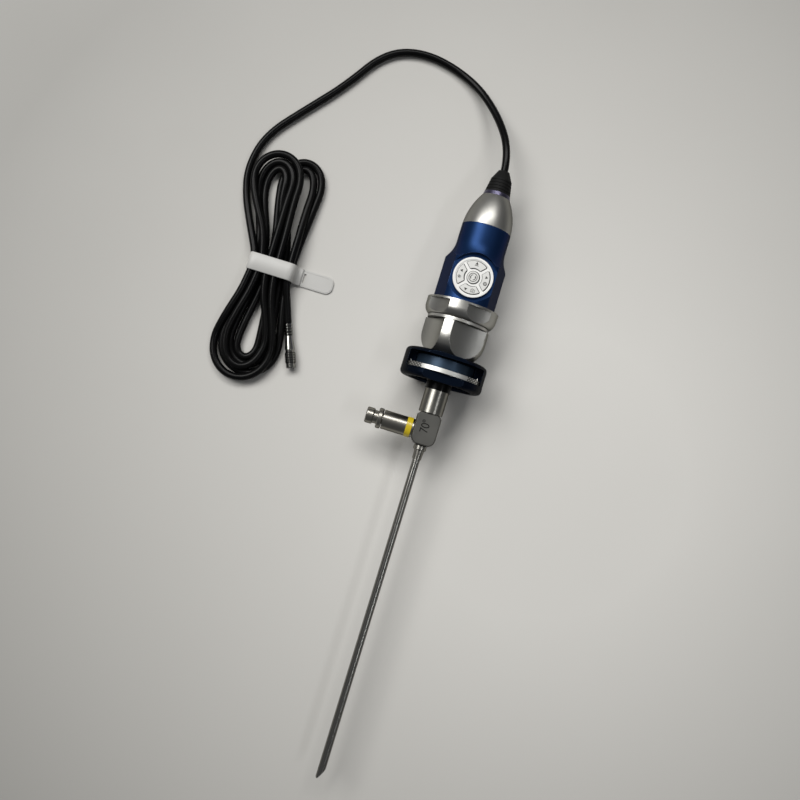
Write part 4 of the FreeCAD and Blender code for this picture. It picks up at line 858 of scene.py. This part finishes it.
BARE_FLANGE = (30.8, 32.5)      # stretches along Y, in millimetres
BLACK_NECK = (-8.0, -0.2)


def band_marks(stretch, band_colour):
    """A marks function that gives one stretch along the axis another colour."""
    def marks(tree, vector, colour):
        parts = tree.nodes.new("ShaderNodeSeparateXYZ")
        tree.links.new(vector, parts.inputs["Vector"])
        after = math_node(tree, "GREATER_THAN", parts.outputs["Y"], stretch[0] * MM)
        before = math_node(tree, "LESS_THAN", parts.outputs["Y"], stretch[1] * MM)
        return mix_colour(tree, math_node(tree, "MULTIPLY", after, before), colour,
                          (*band_colour, 1))
    return marks


# Edge colours below: the lighter ones are painted highlight, on the metals partly also polished cut
# edges.
BLUE = finish("Blue anodised aluminium", (0.0095, 0.031, 0.098), (0.0078, 0.0255, 0.083),
              metallic=0.85, roughness=0.42, edge=((0.06, 0.11, 0.27), 0.25),
              rim=(0.03, 0.04, 0.08), coat=0.08, coat_roughness=0.36)
NAVY = finish("Navy anodised aluminium", (0.0055, 0.0095, 0.020), (0.0045, 0.008, 0.016),
              metallic=0.8, roughness=0.34, edge=((0.03, 0.045, 0.075), 0.25),
              rim=(0.06, 0.07, 0.09))
BARREL = finish("Near black anodised barrel", (0.010, 0.014, 0.026), metallic=0.8, roughness=0.33,
                edge=((0.2, 0.2, 0.22), 0.2), rim=(0.1, 0.1, 0.1),
                marks=band_marks(BARE_FLANGE, (0.47, 0.465, 0.44)))
SILVER = finish("Bead blasted aluminium", (0.385, 0.381, 0.36), (0.34, 0.336, 0.317), metallic=1.0,
                roughness=0.40, grain=5000.0, grain_height=0.006, edge=((0.86, 0.85, 0.82), 0.12),
                rim=(0.22, 0.22, 0.21))
RING_SILVER = finish("Turned aluminium rings", (0.43, 0.426, 0.403), (0.37, 0.366, 0.346),
                     metallic=1.0, roughness=0.34, grain=5000.0, grain_height=0.006,
                     edge=((0.80, 0.79, 0.76), 0.15), rim=(0.3, 0.3, 0.28))
BRIGHT = finish("Bright latch plate", (0.72, 0.72, 0.69), metallic=1.0, roughness=0.46,
                stretch=(0.1, 1, 1), edge=((0.95, 0.95, 0.93), 0.3), marks=knurl_marks)
LILAC = finish("Lilac grey anodised aluminium", (0.075, 0.07, 0.11), metallic=0.9, roughness=0.35,
               edge=((0.16, 0.16, 0.2), 0.25))
CHROME = finish("Polished nickel", NICKEL, metallic=1.0, roughness=0.14, change=0.04,
                grain_height=0.001, edge=((0.85, 0.85, 0.84), 0.08), rim=NICKEL_RIM)
# Polished nickel with painted shade in the grooves of the relief rings and of the sleeve ridges.
RINGED = finish("Polished nickel rings", NICKEL, metallic=1.0, roughness=0.14, change=0.04,
                grain_height=0.001, rim=NICKEL_RIM, marks=groove_marks(*RELIEF_RINGS))
RIDGED = finish("Polished nickel ridges", NICKEL, metallic=1.0, roughness=0.14, change=0.04,
                grain_height=0.001, rim=NICKEL_RIM, marks=groove_marks(*SLEEVE_RIDGES))
SPRING = finish("Spring steel", (0.45, 0.45, 0.45), metallic=1.0, roughness=0.25)
STEEL = finish("Brushed surgical steel", (0.29, 0.283, 0.257), (0.235, 0.228, 0.205), metallic=1.0,
               roughness=0.31, stretch=(1, 0.08, 1), grain=2500.0, grain_height=0.003,
               edge=((0.5, 0.49, 0.46), 0.15), rim=(0.06, 0.06, 0.055))
# The shaft's dark edge colour is painted shade along its sharp edges.
SHAFT_STEEL = finish("Satin steel shaft", (0.30, 0.295, 0.275), (0.25, 0.245, 0.228), metallic=1.0,
                     roughness=0.25, stretch=(1, 0.08, 1), grain=2500.0, grain_height=0.003,
                     edge=((0.12, 0.118, 0.11), 0.3), rim=(0.03, 0.03, 0.028))
# The block's dark edge colour, over a wider edge, is painted shade: the dark outline round the
# block.
BLOCK_STEEL = finish("Satin steel block", (0.25, 0.247, 0.228), (0.23, 0.227, 0.21), metallic=1.0,
                     roughness=0.32, grain_height=0.004, edge=((0.015, 0.015, 0.014), 0.4),
                     rim=(0.04, 0.04, 0.036), edge_radius=0.4)
POST_STEEL = finish("Turned steel post", (0.34, 0.328, 0.295), (0.28, 0.268, 0.24), metallic=1.0,
                    roughness=0.29, stretch=(0.08, 1, 1), grain=2500.0, grain_height=0.003,
                    edge=((0.55, 0.54, 0.51), 0.15), rim=(0.06, 0.06, 0.055))
BLACK_METAL = finish("Black anodised cell", (0.02, 0.02, 0.022), metallic=0.6, roughness=0.4)
BLACK_PLASTIC = finish("Matt black plastic", (0.012, 0.012, 0.013), roughness=0.42, change=0.12,
                       edge=((0.03, 0.03, 0.032), 0.35))
CUP = finish("Blue black eyepiece", (0.030, 0.050, 0.080), (0.024, 0.042, 0.068), metallic=0.55,
             roughness=0.38, ior=1.3, marks=band_marks(BLACK_NECK, (0.0006, 0.0006, 0.0006)))
KEYS = finish("Silver grey keys", (0.70, 0.70, 0.68), (0.67, 0.67, 0.65), metallic=0.15,
              roughness=0.4, edge=((0.80, 0.80, 0.78), 0.35))
PANEL = finish("Silver white panel", (0.84, 0.84, 0.82), (0.81, 0.81, 0.79), metallic=0.1,
               roughness=0.4, edge=((0.90, 0.90, 0.88), 0.35))
BOARD = finish("Green circuit board", (0.01, 0.12, 0.05), roughness=0.35)
SWITCH = finish("Switch dome steel", (0.6, 0.6, 0.58), metallic=1.0, roughness=0.25)
GLASS = finish("Coated glass", (0.85, 0.92, 0.92), roughness=0.03, change=0.01, transmission=1.0,
               grain_height=0.0005)
FIBRE = finish("Light fibre ends", (0.85, 0.8, 0.6), roughness=0.25)
YELLOW = finish("Yellow ring", (0.60, 0.455, 0.016), (0.52, 0.385, 0.012), roughness=0.3, coat=0.2,
                edge=((0.85, 0.7, 0.06), 0.2))
RUBBER = finish("Black rubber", (0.006, 0.006, 0.006), (0.008, 0.008, 0.008), roughness=0.6,
                grain_height=0.01, ior=1.2)
CORD_SKIN = finish("Black cord", (0.0025, 0.0025, 0.0028), (0.004, 0.004, 0.004),
                   roughness=0.25, change=0.08, cloud=25.0, grain=1200.0, grain_height=0.004,
                   ior=1.19)
STRAP = finish("White strap", (0.475, 0.472, 0.457), (0.445, 0.442, 0.427), roughness=0.45)
GOLD = finish("Plated contacts", (0.8, 0.55, 0.2), metallic=1.0, roughness=0.2)
INK = finish("Dark grey key print", (0.07, 0.07, 0.065), roughness=0.6, ior=1.2)
# Dark colour for the key seams, there partly a real gap and partly painted shadow, and for the
# printed angle mark.
DARK_SEAM_SHADOW_AND_PRINT = finish("Dark key seam with painted shadow, and print", (0.012, 0.012, 0.011), roughness=0.6, ior=1.15)

NODE_FINISH = [
    (BLUE, "housing"),
    (NAVY, "clamp_housing"),
    (BARREL, "coupler_barrel"),
    (CUP, "eyepiece"),
    (SILVER, "rear_cone"),
    (RING_SILVER, "focus_ring zoom_ring"),
    (BRIGHT, "latch_plate"),
    (LILAC, "gland_ring"),
    (CHROME, "latch_pins plug_body"),
    (RINGED, "plug_relief"),
    (RIDGED, "plug_sleeve"),
    (SPRING, "latch_springs"),
    (STEEL, "scope_neck shaft_collar lens_tube sensor_screws board_screws"),
    (SHAFT_STEEL, "outer_tube"),
    (BLOCK_STEEL, "scope_block"),
    (POST_STEEL, "post_core post_sleeve post_tip"),
    (BLACK_METAL, "focus_cell zoom_cell"),
    (BLACK_PLASTIC, "board_carrier cable_header image_sensor"),
    (PANEL, "keypad_bezel"),
    (KEYS, "button_up button_down button_left button_right button_centre"),
    (BOARD, "key_board sensor_board main_board"),
    (SWITCH, "key_domes"),
    (GLASS, "coupler_window sensor_window eyepiece_window tip_window fibre_window focus_lens "
            "zoom_lens rod_lenses"),
    (FIBRE, "light_fibres"),
    (YELLOW, "colour_ring"),
    (RUBBER, "strain_relief rear_seal cord_lead cord_hank cord_tail"),
    (STRAP, "cable_tie"),
    (GOLD, "plug_contacts"),
]


def dress_nodes():
    for material, names in NODE_FINISH:
        for name in names.split():
            nodes[name].data.materials.clear()
            nodes[name].data.materials.append(material)


# Table, lights and room


# The paper's colour is painted darker away from its middle: this is painted shade, the fall-off of
# the light drawn into the floor.
TABLE_MIDDLE = (0.07, -0.03)    # metres
TABLE_SHADE_REACH = (0.08, 0.35)      # between these distances from the middle the paper gets darker
TABLE_HALF = 3.0
TABLE_SHADE_DEPTH = 0.9
TABLE_SHADE_COLOUR = (0.28, 0.275, 0.26, 1)

# Each light: name, place, aim, size, power and colour
LIGHTS = [
    ("side_window", (-1.15, 0.58, 1.6), (-0.02, -0.02, 0), (1.2, 1.05), 31, (1.0, 0.99, 0.97)),
    ("far_window", (-0.15, 1.25, 1.6), (-0.02, -0.02, 0), (1.3, 0.5), 18, (1.0, 0.99, 0.97)),
    ("weak_window", (0.85, -0.18, 1.4), (0, -0.05, 0), (0.9, 0.16), 2.4, (0.97, 0.98, 1.0)),
]
ROOM_COLOUR = (0.95, 0.97, 1.0, 1)
ROOM_STRENGTH = 0.11


def table_finish():
    """Pale paper, painted darker away from its middle as painted shade, as in the photo."""
    material = finish("Pale paper", (0.63, 0.62, 0.592), (0.61, 0.60, 0.572), roughness=0.6,
                      cloud=6.0, grain=900.0, grain_height=0.01)
    tree = material.node_tree
    shader = tree.nodes["Principled BSDF"]
    colour = shader.inputs["Base Color"].links[0].from_socket
    place = tree.nodes.new("ShaderNodeTexCoord")
    mapping = tree.nodes.new("ShaderNodeMapping")
    mapping.inputs["Location"].default_value = (-TABLE_MIDDLE[0], -TABLE_MIDDLE[1], 0)
    tree.links.new(place.outputs["Object"], mapping.inputs["Vector"])
    reach = tree.nodes.new("ShaderNodeVectorMath")
    reach.operation = "LENGTH"
    tree.links.new(mapping.outputs["Vector"], reach.inputs[0])
    # Painted shade: the colour goes towards the darker far colour with distance from the middle.
    painted_shade = map_range(tree, reach.outputs["Value"], *TABLE_SHADE_REACH, 0.0, TABLE_SHADE_DEPTH)
    tree.links.new(mix_colour(tree, painted_shade, colour, TABLE_SHADE_COLOUR), shader.inputs["Base Color"])
    return material


def add_table():
    size = TABLE_HALF
    mesh = bpy.data.meshes.new("table_top")
    mesh.from_pydata([(-size, -size, 0), (size, -size, 0), (size, size, 0), (-size, size, 0)], [],
                     [(0, 1, 2, 3)])
    mesh.materials.append(table_finish())
    link(bpy.data.objects.new("table_top", mesh))


def add_light(name, place, aim, size, energy, colour):
    data = bpy.data.lights.new(name, "AREA")
    data.shape = "RECTANGLE"
    data.size, data.size_y = size
    data.energy = energy
    data.color = colour
    light = link(bpy.data.objects.new(name, data))
    light.location = place
    light.rotation_euler = (Vector(aim) - Vector(place)).to_track_quat("-Z", "Y").to_euler()


def add_world():
    world = bpy.data.worlds.new("Room")
    scene.world = world
    world.use_nodes = True
    tree = world.node_tree
    background = tree.nodes["Background"]
    background.inputs["Color"].default_value = ROOM_COLOUR
    background.inputs["Strength"].default_value = ROOM_STRENGTH


dress_nodes()
add_cord(CORD_SKIN)
strap_mesh(STRAP)
strap_tail(STRAP)
key_seams_and_shadows(DARK_SEAM_SHADOW_AND_PRINT)
key_prints(INK)
angle_mark(DARK_SEAM_SHADOW_AND_PRINT)
add_table()
for light in LIGHTS:
    add_light(*light)
add_world()
add_camera()
scene.view_settings.view_transform = "Standard"
